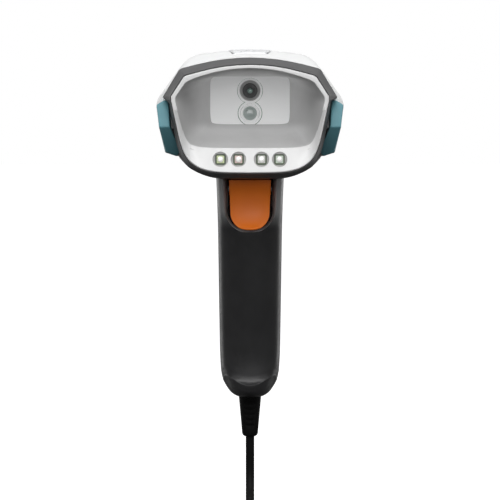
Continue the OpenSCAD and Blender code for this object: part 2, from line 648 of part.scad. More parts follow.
module usb_tongue() color("#efefec") translate([plug_x, plug_y, usb_tip_z])
  translate([-usb_w / 2 + 0.4, -usb_t / 2 + 0.3, 1]) cube([usb_w - 0.8, 1.84, usb_len - 1]);

top_cover();
lower_housing();
nose_bezel();
bezel_gasket();
bumper_left();
bumper_right();
light_cone();
diffuser_panel();
lens_surround();
camera_barrel();
camera_lens();
aimer_barrel();
aimer_window();
optics_block();
imager_board();
image_sensor();
panel_light_board();
panel_leds();
nose_light_board();
nose_leds();
indicator_window();
indicator_board();
main_board();
board_chips();
beeper();
imager_flex();
head_screws();
grip_front();
grip_rear();
grip_screws();
trigger();
trigger_pin();
trigger_spring();
trigger_carrier();
trigger_switch();
switch_plunger();
switch_board();
inner_lead();
lead_plug();
cable_clamp();
strain_relief();
cord_drop();
cord_hank();
cord_tail();
cord_tie();
usb_overmould();
usb_shell();
usb_tongue();
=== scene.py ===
"""Looks of a hand-held two-dimensional code reader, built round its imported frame."""
import json
import math

import bmesh
import bpy
from mathutils import Matrix, Vector


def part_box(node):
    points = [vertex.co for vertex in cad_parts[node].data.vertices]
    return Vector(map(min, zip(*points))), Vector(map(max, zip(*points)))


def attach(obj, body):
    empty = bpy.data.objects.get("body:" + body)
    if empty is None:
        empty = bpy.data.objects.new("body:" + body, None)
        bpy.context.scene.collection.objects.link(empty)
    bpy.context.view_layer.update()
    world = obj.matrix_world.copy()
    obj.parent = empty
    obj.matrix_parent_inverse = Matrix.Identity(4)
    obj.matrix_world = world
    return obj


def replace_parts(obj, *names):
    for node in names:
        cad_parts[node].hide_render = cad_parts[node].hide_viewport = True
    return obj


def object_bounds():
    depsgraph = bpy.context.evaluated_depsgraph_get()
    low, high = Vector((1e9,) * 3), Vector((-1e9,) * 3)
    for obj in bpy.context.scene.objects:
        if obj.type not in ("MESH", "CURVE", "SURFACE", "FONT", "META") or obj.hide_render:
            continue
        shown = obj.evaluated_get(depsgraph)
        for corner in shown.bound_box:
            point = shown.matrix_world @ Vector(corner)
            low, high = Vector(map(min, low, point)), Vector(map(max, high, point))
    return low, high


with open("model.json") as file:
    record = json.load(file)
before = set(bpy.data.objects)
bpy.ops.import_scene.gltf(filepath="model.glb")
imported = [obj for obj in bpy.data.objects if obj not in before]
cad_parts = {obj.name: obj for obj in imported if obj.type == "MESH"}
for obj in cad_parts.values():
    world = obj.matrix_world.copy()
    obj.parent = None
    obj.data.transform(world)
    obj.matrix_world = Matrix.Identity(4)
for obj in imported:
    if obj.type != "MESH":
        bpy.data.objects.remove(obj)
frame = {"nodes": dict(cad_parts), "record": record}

MM = 0.001
cad_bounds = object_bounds()
scene = bpy.context.scene


def span(node):
    """Lowest and highest corner of a CAD node, in millimetres."""
    low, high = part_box(node)
    return low / MM, high / MM


def middle(node, axis):
    """Middle of a CAD node along an axis, in millimetres."""
    return sum(getattr(corner, axis) for corner in span(node)) / 2


# ---- Driving places, all from the frame, in millimetres ----

cone_low, cone_high = span("light_cone")
panel_low, panel_high = span("diffuser_panel")
led_low, led_high = span("nose_leds")
relief_low = span("strain_relief")[0]
rim_y, collar_y = cone_low.y, cone_high.y
panel_y = panel_low.y
flange_y = rim_y + 6.5
bezel_y = span("nose_bezel")[1].y
split_z = span("top_cover")[0].z
camera_z = middle("camera_lens", "z")
aimer_z = middle("aimer_window", "z")
light_z = middle("nose_leds", "z")
cord_y = middle("strain_relief", "y")

# ---- Camera, floor and light, in metres ----

VIEW_DISTANCE = 0.650
VIEW_DROP = math.radians(4)
AIM_Z = 0.0267
FOCAL_LENGTH, SENSOR_WIDTH = 95.5, 36
FLOOR_GAP = 0.0015
FLOOR_HALF = 60
FLOOR_GLOW = 0.62
# Share of the way from straight down to straight up, and the world's brightness there
SKY = ((0, 0.07), (0.475, 0.10), (0.485, 1), (0.565, 1), (0.62, 0.42), (1, 0.55))
# Name, place, aim, width and height, and power in watts
LIGHTS = [("key_top", (0, -0.56, 0.85), (0, -0.03, 0.06), (1.2, 0.7), 8.2),
          ("front", (0, -1.2, 0.53), (0, 0, 0.03), (0.7, 0.8), 3.9)]
for side in (-1, 1):
    LIGHTS += [(f"rim_{side}", (0.6 * side, 0.75, 0.1), (0, 0, 0), (0.25, 0.9), 1.1),
               (f"shoulder_{side}", (0.75 * side, -0.5, 0.75), (0, -0.06, 0.1), (0.5, 0.5), 1.6)]


def make_camera():
    data = bpy.data.cameras.new("camera")
    data.lens = FOCAL_LENGTH
    data.sensor_width = SENSOR_WIDTH
    camera = bpy.data.objects.new("camera", data)
    scene.collection.objects.link(camera)
    aim = Vector((0, rim_y * MM, AIM_Z))
    back = Vector((0, -math.cos(VIEW_DROP), math.sin(VIEW_DROP)))
    camera.location = aim + back * VIEW_DISTANCE
    camera.rotation_euler = (-back).to_track_quat("-Z", "Y").to_euler()
    scene.camera = camera


def area_light(name, place, aim, size, power):
    data = bpy.data.lights.new(name, "AREA")
    data.shape = "RECTANGLE"
    data.size, data.size_y = size
    data.energy = power
    light = bpy.data.objects.new(name, data)
    light.location = place
    light.rotation_euler = (Vector(aim) - Vector(place)).to_track_quat("-Z", "Y").to_euler()
    scene.collection.objects.link(light)


def set_sockets(node, values):
    """Sets a shader node's sockets. A blank in a socket's name may be written as an underscore."""
    for socket, value in values.items():
        node.inputs[socket.replace("_", " ")].default_value = value


def add(tree, kind, **values):
    made = tree.nodes.new("ShaderNode" + kind)
    set_sockets(made, values)
    return made


def make_world():
    """A white horizon behind the object, a softer sky above it and a dim floor below."""
    world = bpy.data.worlds.new("studio")
    scene.world = world
    world.use_nodes = True
    tree = world.node_tree
    tree.nodes.clear()
    out, back, where = add(tree, "OutputWorld"), add(tree, "Background"), add(tree, "TexCoord")
    split, ramp = add(tree, "SeparateXYZ"), add(tree, "ValToRGB")
    shift = add(tree, "MapRange", From_Min=-1, From_Max=1)
    for index, (spot, value) in enumerate(SKY):
        stop = ramp.color_ramp.elements[index] if index < 2 else ramp.color_ramp.elements.new(spot)
        stop.position = spot
        stop.color = (value, value, value, 1)
    links = tree.links
    links.new(where.outputs["Generated"], split.inputs[0])
    links.new(split.outputs["Z"], shift.inputs["Value"])
    links.new(shift.outputs["Result"], ramp.inputs["Fac"])
    links.new(ramp.outputs["Color"], back.inputs["Color"])
    links.new(back.outputs[0], out.inputs["Surface"])


def make_floor(floor_z):
    mesh = bpy.data.meshes.new("floor")
    square = ((-1, -1), (1, -1), (1, 1), (-1, 1))
    corners = [(FLOOR_HALF * x, FLOOR_HALF * y, floor_z) for x, y in square]
    mesh.from_pydata(corners, [], [(0, 1, 2, 3)])
    floor = bpy.data.objects.new("floor", mesh)
    scene.collection.objects.link(floor)
    paint = bpy.data.materials.new("floor_white")
    paint.use_nodes = True
    set_sockets(paint.node_tree.nodes["Principled BSDF"],
                {"Base Color": (0.9, 0.9, 0.9, 1), "Roughness": 0.9,
                 "Emission Color": (1, 1, 1, 1), "Emission Strength": FLOOR_GLOW})
    mesh.materials.append(paint)
    floor.visible_diffuse = False
    floor.visible_glossy = False


scene.view_settings.view_transform = "Standard"
scene.view_settings.look = "None"
make_camera()
make_world()
make_floor(cad_bounds[0][2] - FLOOR_GAP)
for light in LIGHTS:
    area_light(*light)

# ---- Materials ----

# Scale of the moulded grain, in cycles a metre, and how far from its middle a noise strays
GRAIN = 1800
NOISE_LOW, NOISE_HIGH = 0.3, 0.7


def shade(color, factor):
    return tuple(min(1, c * factor) for c in color[:3]) + (1,)


def noise(tree, scale, detail=3):
    cloud = add(tree, "TexNoise", Scale=scale, Detail=detail)
    tree.links.new(add(tree, "TexCoord").outputs["Object"], cloud.inputs["Vector"])
    return cloud.outputs["Fac"]


def spread(tree, value, low, high):
    """Maps a noise, which stays near the middle of its range, onto low to high."""
    remap = add(tree, "MapRange", From_Min=NOISE_LOW, From_Max=NOISE_HIGH, To_Min=low, To_Max=high)
    tree.links.new(value, remap.inputs["Value"])
    return remap.outputs["Result"]


def blend(tree, share, first, second):
    """Mixes a colour, or a colour socket, with a second colour by a share."""
    mixer = tree.nodes.new("ShaderNodeMix")
    mixer.data_type = "RGBA"
    if isinstance(first, tuple):
        mixer.inputs["A"].default_value = first
    else:
        tree.links.new(first, mixer.inputs["A"])
    mixer.inputs["B"].default_value = second
    tree.links.new(share, mixer.inputs["Factor"])
    return mixer.outputs["Result"]


def combine(tree, operation, first, second):
    worked = add(tree, "Math")
    worked.operation = operation
    tree.links.new(first, worked.inputs[0])
    tree.links.new(second, worked.inputs[1])
    return worked.outputs[0]


def raise_grain(tree, height, strength, distance):
    """Bumps the surface by a height, whose full range is distance millimetres."""
    lift = add(tree, "Bump", Strength=strength, Distance=distance * MM)
    tree.links.new(height, lift.inputs["Height"])
    tree.links.new(lift.outputs["Normal"], tree.nodes["Principled BSDF"].inputs["Normal"])


def material(name, color, rough, tint=0.06, patch=60, depth=0.03, bump=0.25, rough_play=0.05,
             **fixed):
    """A moulded surface: slow colour drift, a fine moulded grain and uneven gloss.

    patch is the drift's scale in cycles a metre, depth is the grain's height in millimetres."""
    paint = bpy.data.materials.new(name)
    paint.use_nodes = True
    tree = paint.node_tree
    shader = tree.nodes["Principled BSDF"]
    drift = spread(tree, noise(tree, patch), 0, 1)
    tone = blend(tree, drift, shade(color, 1 - tint), shade(color, 1 + tint))
    tree.links.new(tone, shader.inputs["Base Color"])
    gloss = spread(tree, noise(tree, patch * 3, 5), rough - rough_play, rough + rough_play)
    tree.links.new(gloss, shader.inputs["Roughness"])
    raise_grain(tree, noise(tree, GRAIN, 2), bump, depth)
    set_sockets(shader, fixed)
    return paint


def weave(paint, pitch):
    """Makes a surface plain-woven tape: two crossed sets of threads, pitch millimetres apart."""
    tree = paint.node_tree
    where = add(tree, "TexCoord")
    waves = []
    for direction in ("X", "Z"):
        wave = add(tree, "TexWave", Scale=1 / (pitch * MM) / 6.28)
        wave.bands_direction = direction
        tree.links.new(where.outputs["Object"], wave.inputs["Vector"])
        waves.append(wave.outputs["Fac"])
    raise_grain(tree, combine(tree, "MAXIMUM", *waves), 0.8, 0.2)


def ramp_along(tree, axis, start, end, low, high):
    """A value that eases from low to high between two places, in millimetres, on an axis."""
    split = add(tree, "SeparateXYZ")
    ramp = add(tree, "MapRange", From_Min=start * MM, From_Max=end * MM, To_Min=low, To_Max=high)
    ramp.interpolation_type = "SMOOTHSTEP"
    tree.links.new(add(tree, "TexCoord").outputs["Object"], split.inputs[0])
    tree.links.new(split.outputs[axis], ramp.inputs["Value"])
    return ramp.outputs["Result"]


def painted_glow(paint, axis, start, end, low, high, floor=None):
    """Paints a glow onto a surface, more at one end than at the other: painted light, standing in for light
    that the lamps don't bring there.

    floor is a height where the glow starts to grow, the height where it is full, and the gain."""
    tree = paint.node_tree
    glow = ramp_along(tree, axis, start, end, low, high)
    if floor:
        glow = combine(tree, "MULTIPLY", glow, ramp_along(tree, "Z", floor[1], floor[0], floor[2], 1))
    shader = tree.nodes["Principled BSDF"]
    tree.links.new(glow, shader.inputs["Emission Strength"])
    shader.inputs["Emission Color"].default_value = (1, 1, 1, 1)


def painted_cheek_sheen(paint, rise, depth, pale):
    """Paints the grip paler beside the trigger, fading out below and behind: a painted sheen, standing in
    for the reflection that the cheeks catch there.

    rise is where the painted sheen starts and is full in height, depth is where it ends."""
    tree = paint.node_tree
    shader = tree.nodes["Principled BSDF"]
    own = shader.inputs["Base Color"].links[0].from_socket
    share = combine(tree, "MULTIPLY", ramp_along(tree, "Z", *rise, 0, 1),
                    ramp_along(tree, "Y", *depth, 1, 0))
    tree.links.new(blend(tree, share, own, pale), shader.inputs["Base Color"])


# Colour, roughness, and what differs from the plain moulded surface
CORD_BLACK = (0.003, 0.003, 0.003)
FINISHES = {
    "white_shell": ((0.68, 0.685, 0.685), 0.42, dict(tint=0.015, depth=0.02, bump=0.15)),
    "dark_shell": ((0.020, 0.020, 0.022), 0.46, dict(tint=0.15, depth=0.04, bump=0.35)),
    "bezel_rubber": ((0.072, 0.072, 0.073), 0.55, dict(tint=0.08, bump=0.3)),
    "gasket_rubber": ((0.02, 0.02, 0.021), 0.6, {}),
    "teal_rubber": ((0.088, 0.225, 0.262), 0.48, dict(bump=0.3, Specular_IOR_Level=0.3)),
    "cone_white": ((0.57, 0.57, 0.57), 0.5, dict(tint=0.015, bump=0.12)),
    # The cavity's paint is a darker copy of the cone's white: painted shade inside the cone, with a painted
    # glow added further in.
    "cavity": ((0.32, 0.32, 0.32), 0.5, dict(tint=0.02, bump=0.12)),
    # The pocket's paint is a grey copy of the cone's white: painted shade in the pockets, with a painted
    # glow at their top.
    "pocket": ((0.42, 0.42, 0.41), 0.5, dict(tint=0.03, bump=0.12)),
    "diffuser": ((0.72, 0.73, 0.73), 0.38, dict(tint=0.02, bump=0.1)),
    "surround": ((0.66, 0.67, 0.67), 0.35, dict(tint=0.02, bump=0.1)),
    # The funnel's paint is a darker copy of the eye plate's grey: painted shade round the camera's bore.
    "funnel": ((0.42, 0.42, 0.42), 0.5, dict(tint=0.05)),
    "black_barrel": ((0.13, 0.13, 0.131), 0.5, dict(tint=0.1)),
    # The camera lens's green coating is paler than a dark lens: partly the coating's own tint, partly a
    # painted glint.
    "coated_glass": ((0.32, 0.44, 0.40), 0.06, dict(tint=0.3, patch=400, bump=0.02, rough_play=0.02,
                                                   Coat_Weight=1, Coat_Roughness=0.03)),
    "aimer_glass": ((0.42, 0.48, 0.46), 0.08, dict(tint=0.1, patch=200, bump=0.02, rough_play=0.02,
                                                  Coat_Weight=0.8, Coat_Roughness=0.04)),
    "dark_plastic": ((0.03, 0.031, 0.034), 0.5, dict(tint=0.12)),
    "circuit_board": ((0.015, 0.14, 0.06), 0.35, dict(tint=0.2, patch=900)),
    "chip": ((0.02, 0.021, 0.023), 0.45, dict(tint=0.15)),
    "led_frame": ((0.12, 0.15, 0.10), 0.45, dict(tint=0.1, patch=500)),
    "led_green": ((0.62, 0.70, 0.42), 0.3, dict(patch=700)),
    "led_pink": ((0.72, 0.56, 0.54), 0.3, dict(patch=700)),
    "led_plain": ((0.62, 0.62, 0.60), 0.3, dict(patch=700)),
    "led_mint": ((0.58, 0.66, 0.58), 0.3, dict(patch=700)),
    "led_dome": ((0.95, 0.94, 0.92), 0.12, dict(tint=0.02, patch=400, bump=0.02,
                                               Coat_Weight=1, Coat_Roughness=0.05)),
    "led": ((0.62, 0.60, 0.42), 0.3, dict(tint=0.1, patch=500)),
    "indicator": ((0.64, 0.65, 0.66), 0.3, dict(tint=0.01, bump=0.08, Subsurface_Weight=0.15,
                                               Subsurface_Radius=(0.002, 0.002, 0.002))),
    "flex": ((0.45, 0.22, 0.04), 0.3, dict(tint=0.15, patch=300)),
    "screw_steel": ((0.5, 0.5, 0.5), 0.3, dict(tint=0.05, Metallic=1)),
    "spring_steel": ((0.55, 0.55, 0.56), 0.28, dict(tint=0.05, Metallic=1)),
    "grip_plastic": ((0.018, 0.018, 0.019), 0.38, dict(tint=0.15, depth=0.05, bump=0.4)),
    # The recess wall's paint is a pale grey copy of the black grip: painted light on the recess round the
    # trigger, which lies in shade.
    "recess_wall": ((0.4, 0.4, 0.405), 0.5, dict(tint=0.08)),
    "trigger_orange": ((0.98, 0.205, 0.006), 0.42, dict(tint=0.04, bump=0.2, Specular_IOR_Level=0.4)),
    "light_plastic": ((0.75, 0.73, 0.65), 0.45, dict(tint=0.03)),
    "cord_black": (CORD_BLACK, 0.5, dict(tint=0.2, patch=150, Specular_IOR_Level=0.1)),
    "relief_black": (CORD_BLACK, 0.6, dict(tint=0.2, Specular_IOR_Level=0.1)),
    "tie_fabric": ((0.022, 0.022, 0.026), 0.85, dict(tint=0.15, Sheen_Weight=0.3)),
    "usb_metal": ((0.6, 0.6, 0.62), 0.22, dict(tint=0.04, patch=200, Metallic=1)),
}
paints = {name: material(name, color, rough, **more) for name, (color, rough, more) in FINISHES.items()}
# Painted light: the cavity's walls glow more deeper in and most near its floor; the pockets glow more at
# their top; the panel and the eye plate glow a little more towards the bottom.
painted_glow(paints["cavity"], "Y", rim_y + 2, panel_y - 8, 0, 0.12,
           (panel_low.z + 2, panel_low.z - 3, 1.9))
painted_glow(paints["pocket"], "Z", light_z - 4, light_z + 4, 0, 0.16)
painted_glow(paints["diffuser"], "Z", panel_high.z, panel_low.z, 0.17, 0.21)
painted_glow(paints["surround"], "Z", panel_high.z, panel_low.z, 0.16, 0.22)
# Painted sheen: the grip's cheeks beside the trigger are painted paler grey.
painted_cheek_sheen(paints["grip_plastic"], (34, 45), (-19, -12), (0.23, 0.231, 0.232, 1))
weave(paints["tie_fabric"], 0.8)

# Every CAD node that stays in view takes the finish that the record gives it
slot_of = {s["node"]: s["material_slot"] for s in frame["record"]["subparts"]}
for name, node in frame["nodes"].items():
    node.data.materials.clear()
    node.data.materials.append(paints[slot_of[name]])

# ---- Mesh tools ----

# Points nearer to each other than this, in millimetres, become one
SAME_SPOT = 0.0005


def shade_smooth(mesh):
    for face in mesh.polygons:
        face.use_smooth = True


def face_outward(bm):
    bmesh.ops.recalc_face_normals(bm, faces=bm.faces)


def to_mesh(name, bm):
    """Turns a bmesh in millimetres into a mesh in metres."""
    bm.transform(Matrix.Scale(MM, 4))
    mesh = bpy.data.meshes.new(name)
    bm.to_mesh(mesh)
    bm.free()
    return mesh


def link_mesh(name, bm, slot, body="root", paint=None):
    """Turns a bmesh in millimetres into a piece in metres that rides on a body."""
    bmesh.ops.remove_doubles(bm, verts=bm.verts, dist=SAME_SPOT)
    mesh = to_mesh(name, bm)
    shade_smooth(mesh)
    piece = bpy.data.objects.new(name, mesh)
    scene.collection.objects.link(piece)
    mesh.materials.append(paints[paint or slot])
    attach(piece, body)
    return piece


def settle(piece, sharp=35):
    """Applies the piece's modifiers and marks its crisp edges."""
    bpy.context.view_layer.update()
    graph = bpy.context.evaluated_depsgraph_get()
    ready = bpy.data.meshes.new_from_object(piece.evaluated_get(graph))
    piece.modifiers.clear()
    piece.data = ready
    shade_smooth(ready)
    ready.set_sharp_from_angle(angle=math.radians(sharp))
    return piece


def soften(piece, width, segments=3, angle=35):
    """Rounds every crisp edge by width millimetres."""
    bevel = piece.modifiers.new("round", "BEVEL")
    bevel.width = width * MM
    bevel.segments = segments
    bevel.limit_method = "ANGLE"
    bevel.angle_limit = math.radians(angle)
    bevel.use_clamp_overlap = True
    bevel.miter_outer = "MITER_ARC"
    return piece


def thicken(piece, wall):
    """Gives an open surface a wall, on its inner side."""
    solid = piece.modifiers.new("wall", "SOLIDIFY")
    solid.thickness = wall * MM
    solid.offset = -1
    solid.use_even_offset = True
    return piece


def carve(piece, *cutters):
    """Cuts closed pieces out of another, and removes them."""
    for cutter in cutters:
        cut = piece.modifiers.new("cut", "BOOLEAN")
        cut.operation = "DIFFERENCE"
        cut.solver = "EXACT"
        cut.object = cutter
    settle(piece)
    for cutter in cutters:
        bpy.data.objects.remove(cutter)
    return piece


def cutter(bm):
    """A closed tool for carve, in metres, that belongs to nothing."""
    face_outward(bm)
    tool = bpy.data.objects.new("cutter", to_mesh("cutter", bm))
    scene.collection.objects.link(tool)
    return tool


def skin(rings, closed_ends=True, joined_ends=False):
    """A bmesh through rings with equally many points. joined_ends makes a closed band."""
    bm = bmesh.new()
    rows = [[bm.verts.new(p) for p in ring] for ring in rings]
    count = len(rows[0])
    pairs = list(zip(rows, rows[1:]))
    if joined_ends:
        pairs.append((rows[-1], rows[0]))
    for a, b in pairs:
        for i in range(count):
            j = (i + 1) % count
            bm.faces.new((a[i], a[j], b[j], b[i]))
    if closed_ends and not joined_ends:
        bm.faces.new(rows[0])
        bm.faces.new(rows[-1])
    bmesh.ops.remove_doubles(bm, verts=bm.verts, dist=SAME_SPOT)
    face_outward(bm)
    return bm


def lathe(profile, place, direction, steps=64, joined=False):
    """Turns (along, radius) points about an axis through place. joined makes a ring of them."""
    axis = Vector(direction).normalized()
    side = axis.orthogonal().normalized()
    other = axis.cross(side)
    rings = []
    for along, radius in profile:
        centre = Vector(place) + axis * along
        turn = [2 * math.pi * i / steps for i in range(steps)]
        rings.append([centre + (side * math.cos(a) + other * math.sin(a)) * max(radius, 1e-5) for a in turn])
    return skin(rings, joined_ends=joined)


def tube(start, end, outer, inner=0):
    """A lathe profile for a plain rod, or for a sleeve with a bore."""
    return ((start, inner), (start, outer), (end, outer), (end, inner))


def block(low, high):
    low, high = Vector(low), Vector(high)
    bm = bmesh.new()
    bmesh.ops.create_cube(bm, size=1)
    bmesh.ops.scale(bm, vec=high - low, verts=bm.verts)
    bmesh.ops.translate(bm, vec=(low + high) / 2, verts=bm.verts)
    return bm


def prism(outline, axis, start, end):
    """Extrudes (a, b) points along an axis: they are y and z for "X", x and z for "Y"."""
    def put(p, along):
        return {"X": (along, p[0], p[1]), "Y": (p[0], along, p[1]), "Z": (p[0], p[1], along)}[axis]
    return skin([[put(p, start) for p in outline], [put(p, end) for p in outline]])


def rounded_rectangle(centre, half, corner, steps=6):
    """Points round a rectangle with round corners, in the plane of the prism it is for."""
    points = []
    for sx, sy, first in ((1, 1, 0), (-1, 1, 90), (-1, -1, 180), (1, -1, 270)):
        for k in range(steps + 1):
            a = math.radians(first + 90 * k / steps)
            points.append((centre[0] + sx * (half[0] - corner) + corner * math.cos(a),
                           centre[1] + sy * (half[1] - corner) + corner * math.sin(a)))
    return points


def screw_well(name, slot, place, direction, radius, wall, well, sleeve):
    """Adds the sleeve round a screw's head, and returns the cutter for the well that leads to it.

    well and sleeve say where each starts and ends along the direction."""
    ring = lathe(tube(*sleeve, radius + wall, radius), place, direction, 40, joined=True)
    settle(link_mesh(name, ring, slot))
    return cutter(lathe(tube(*well, radius), place, direction, 40))


def mix(a, b, t):
    return [x + (y - x) * t for x, y in zip(a, b)]


def clamp(t):
    return min(1, max(0, t))


def ease(t):
    t = clamp(t)
    return t * t * (3 - 2 * t)


def smooth_rows(rows, between):
    """Rows of numbers with a smooth Catmull-Rom run of new rows between each pair."""
    made = []
    for i in range(len(rows) - 1):
        before, a = rows[max(i - 1, 0)], rows[i]
        b, after = rows[i + 1], rows[min(i + 2, len(rows) - 1)]
        for k in range(between):
            t = k / between
            made.append([0.5 * (2 * q + (r - p) * t + (2 * p - 5 * q + 4 * r - s) * t * t
                                + (3 * q - p - 3 * r + s) * t ** 3)
                         for p, q, r, s in zip(before, a, b, after)])
    return made + [list(rows[-1])]


# ---- Section outlines: (x, z) corners of the right half, from the top centre down ----

HEAD_SOFT = (0.75, 0.2, 0.16, 0.42, 0.45, 0.45)
# The nose has two more corners at the side: a short upright facet, and a step that seats the bumper
CRISP = (0.75, 0.07, 0.05, 0.12, 0.08, 0.42, 0.45, 0.45)
SOFT = (0.75, 0.22, 0.3, 0.3, 0.1, 0.36, 0.45, 0.45)
SQUARE_SOFT = (0.4, 0.45, 0.45, 0.1, 0.1, 0.45, 0.45, 0.4)
LIP = ((0, 116.8), (32, 111.4), (38.4, 101.6), (38.4, 99.4), (37.9, 97), (32.6, 72.2), (22.5, 64.8),
       (0, 64.2))
MOUTH = ((0, 115.1), (30.6, 109.2), (36.3, 101.2), (36.3, 99), (35.7, 96.5), (31.4, 79), (24, 76.6),
         (0, 76.5))
BEZEL = ((0, 120.9), (34.6, 115.5), (42.8, 102), (42.8, 101), (40.3, 100.8), (34.8, 69.6), (22, 62),
         (0, 61.6))


def outline(half, soft, steps=8):
    """Rounds the corners of a half outline and mirrors it. The rounded top keeps its height."""
    half = [list(p) for p in half]
    share = soft[0] / 2
    half[0][1] = (half[0][1] - share * half[1][1]) / (1 - share)
    corners = half + [[-x, z] for x, z in half[-2:0:-1]]
    softness = list(soft) + list(soft[-2:0:-1])
    count = len(corners)
    ring = []
    for i, corner in enumerate(corners):
        a = mix(corner, corners[i - 1], softness[i])
        c = mix(corner, corners[(i + 1) % count], softness[i])
        for k in range(steps + 1):
            t = k / steps
            ring.append(mix(mix(a, corner, t), mix(corner, c, t), t))
    return ring


def inset(ring, wall):
    """Draws a ring in by about wall millimetres on every side."""
    wide = max(p[0] for p in ring)
    top, low = max(p[1] for p in ring), min(p[1] for p in ring)
    centre, share = (top + low) / 2, 1 - 2 * wall / (top - low)
    return [[p[0] * (1 - wall / wide), centre + (p[1] - centre) * share] for p in ring]


def at_y(ring, y):
    """Puts a flat ring at a depth, which may be a number or a function of the point."""
    return [(p[0], y(p) if callable(y) else y, p[1]) for p in ring]


# ---- The lead: the free length hangs down and is folded into a tied hank ----

DROP = ((0, 12.4, -82.8), (0, 12.4, -88), (0, 12.4, -94), (0, 12.4, -100), (0, 12.1, -104), (0, 11, -108),
        (0, 9, -111.5), (0, 6.4, -114), (0, 3.8, -116), (0, 1.8, -118.4), (0, 0.8, -122))
TAIL = tuple((-14.4, 24.8, z) for z in (-209, -214, -219, -224, -230))
CORD_D = 4.8
# Half the height over which the runs cross to their next place
CROSSING = 18
ARC_STEPS, ENTRY_STEPS, CROSSING_STEPS = 14, 9, 8
hank_low, hank_high = span("cord_hank")
hank_z = middle("cord_hank", "z")
outer_r = (hank_high.x - hank_low.x) / 2 - CORD_D / 2
inner_r = outer_r - CORD_D
hank_run = (hank_high.z - hank_low.z) / 2 - outer_r - CORD_D / 2
# Radius of each turn's bends, and its level from the front
TURNS = ((inner_r, 1), (outer_r, 1), (outer_r, 2), (inner_r, 2), (inner_r, 3), (outer_r, 3), (outer_r, 4),
         (inner_r, 4), (inner_r, 5))


def level_y(level):
    return hank_low.y + CORD_D / 2 + level * CORD_D


def bend(radius, y, centre_z, start):
    """Half a turn of the lead, from an angle on."""
    turn = [start + math.pi * k / ARC_STEPS for k in range(ARC_STEPS + 1)]
    return [(radius * math.cos(a), y, centre_z + radius * math.sin(a)) for a in turn]


def hank_path():
    """Incoming run in front, eight turns in two layers and four levels, then the tail behind."""
    points = []
    top = DROP[-1][2]
    bottom_of_curve = hank_z + CROSSING
    for k in range(1, ENTRY_STEPS):
        t = k / ENTRY_STEPS
        points.append((-inner_r * ease(t), level_y(0), top + (bottom_of_curve - top) * t))
    here = (inner_r, 0)
    for radius, level in TURNS:
        for k in range(CROSSING_STEPS + 1):
            t = k / CROSSING_STEPS
            x = here[0] + (radius - here[0]) * ease(t)
            y = level_y(here[1] + (level - here[1]) * ease(t))
            points.append((-x, y, hank_z + CROSSING - 2 * CROSSING * t))
        here = (radius, level)
        if level == TURNS[-1][1]:
            break
        y = level_y(level)
        points += bend(radius, y, hank_z - hank_run, math.pi)
        points += [(radius, y, hank_z + share * hank_run) for share in (-0.5, 0, 0.5)]
        points += bend(radius, y, hank_z + hank_run, 0)
    return points


def make_cord():
    points = list(DROP) + hank_path() + list(TAIL)
    curve = bpy.data.curves.new("lead", "CURVE")
    curve.dimensions = "3D"
    curve.bevel_depth = CORD_D / 2 * MM
    curve.bevel_resolution = 5
    curve.use_fill_caps = True
    spline = curve.splines.new("POLY")
    spline.points.add(len(points) - 1)
    for spot, p in zip(spline.points, points):
        spot.co = (p[0] * MM, p[1] * MM, p[2] * MM, 1)
    spline.use_smooth = True
    lead = bpy.data.objects.new("lead", curve)
    scene.collection.objects.link(lead)
    curve.materials.append(paints["cord_black"])
    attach(lead, "root")
    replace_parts(lead, "cord_drop", "cord_hank", "cord_tail")
    return lead


TIE_THICK, TIE_CORNER = 1.4, 2.6
# The free end's left and right edge, how far it stands proud, and its margin above and below
TIE_END_LEFT, TIE_END_RIGHT, TIE_END_PROUD, TIE_END_MARGIN = -9, 15, 1.1, 0.6


def make_tie():
    """A woven strap round the hank's waist, with its free end lapped over the front."""
    low, high = span("cord_tie")
    centre, half = (low + high) / 2, (high - low) / 2
    outside = rounded_rectangle(centre, half, TIE_CORNER)
    inside = rounded_rectangle(centre, (half[0] - TIE_THICK, half[1] - TIE_THICK), TIE_CORNER / 2)
    rings = [[(x, y, z) for x, y in ring] for ring, z in
             ((outside, low.z), (outside, high.z), (inside, high.z), (inside, low.z))]
    strap = link_mesh("tie_strap", skin(rings, joined_ends=True), "tie_fabric")
    settle(soften(strap, 0.3))
    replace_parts(strap, "cord_tie")
    end = link_mesh("tie_end", block((TIE_END_LEFT, low.y - TIE_END_PROUD, low.z + TIE_END_MARGIN),
                                     (TIE_END_RIGHT, low.y, high.z - TIE_END_MARGIN)), "tie_fabric")
    settle(soften(end, 0.35))
    return strap, end


NECK_LENGTH, NECK_RINGS, NECK_PITCH, NECK_GROOVE_R = 8, 3, 2.2, 2.8
PLUG_RIBS, RIB_PITCH, RIB_FIRST, RIB_HALF, RIB_TALL, RIB_PROUD = 4, 2.6, 4.5, 4.2, 1.1, 0.25


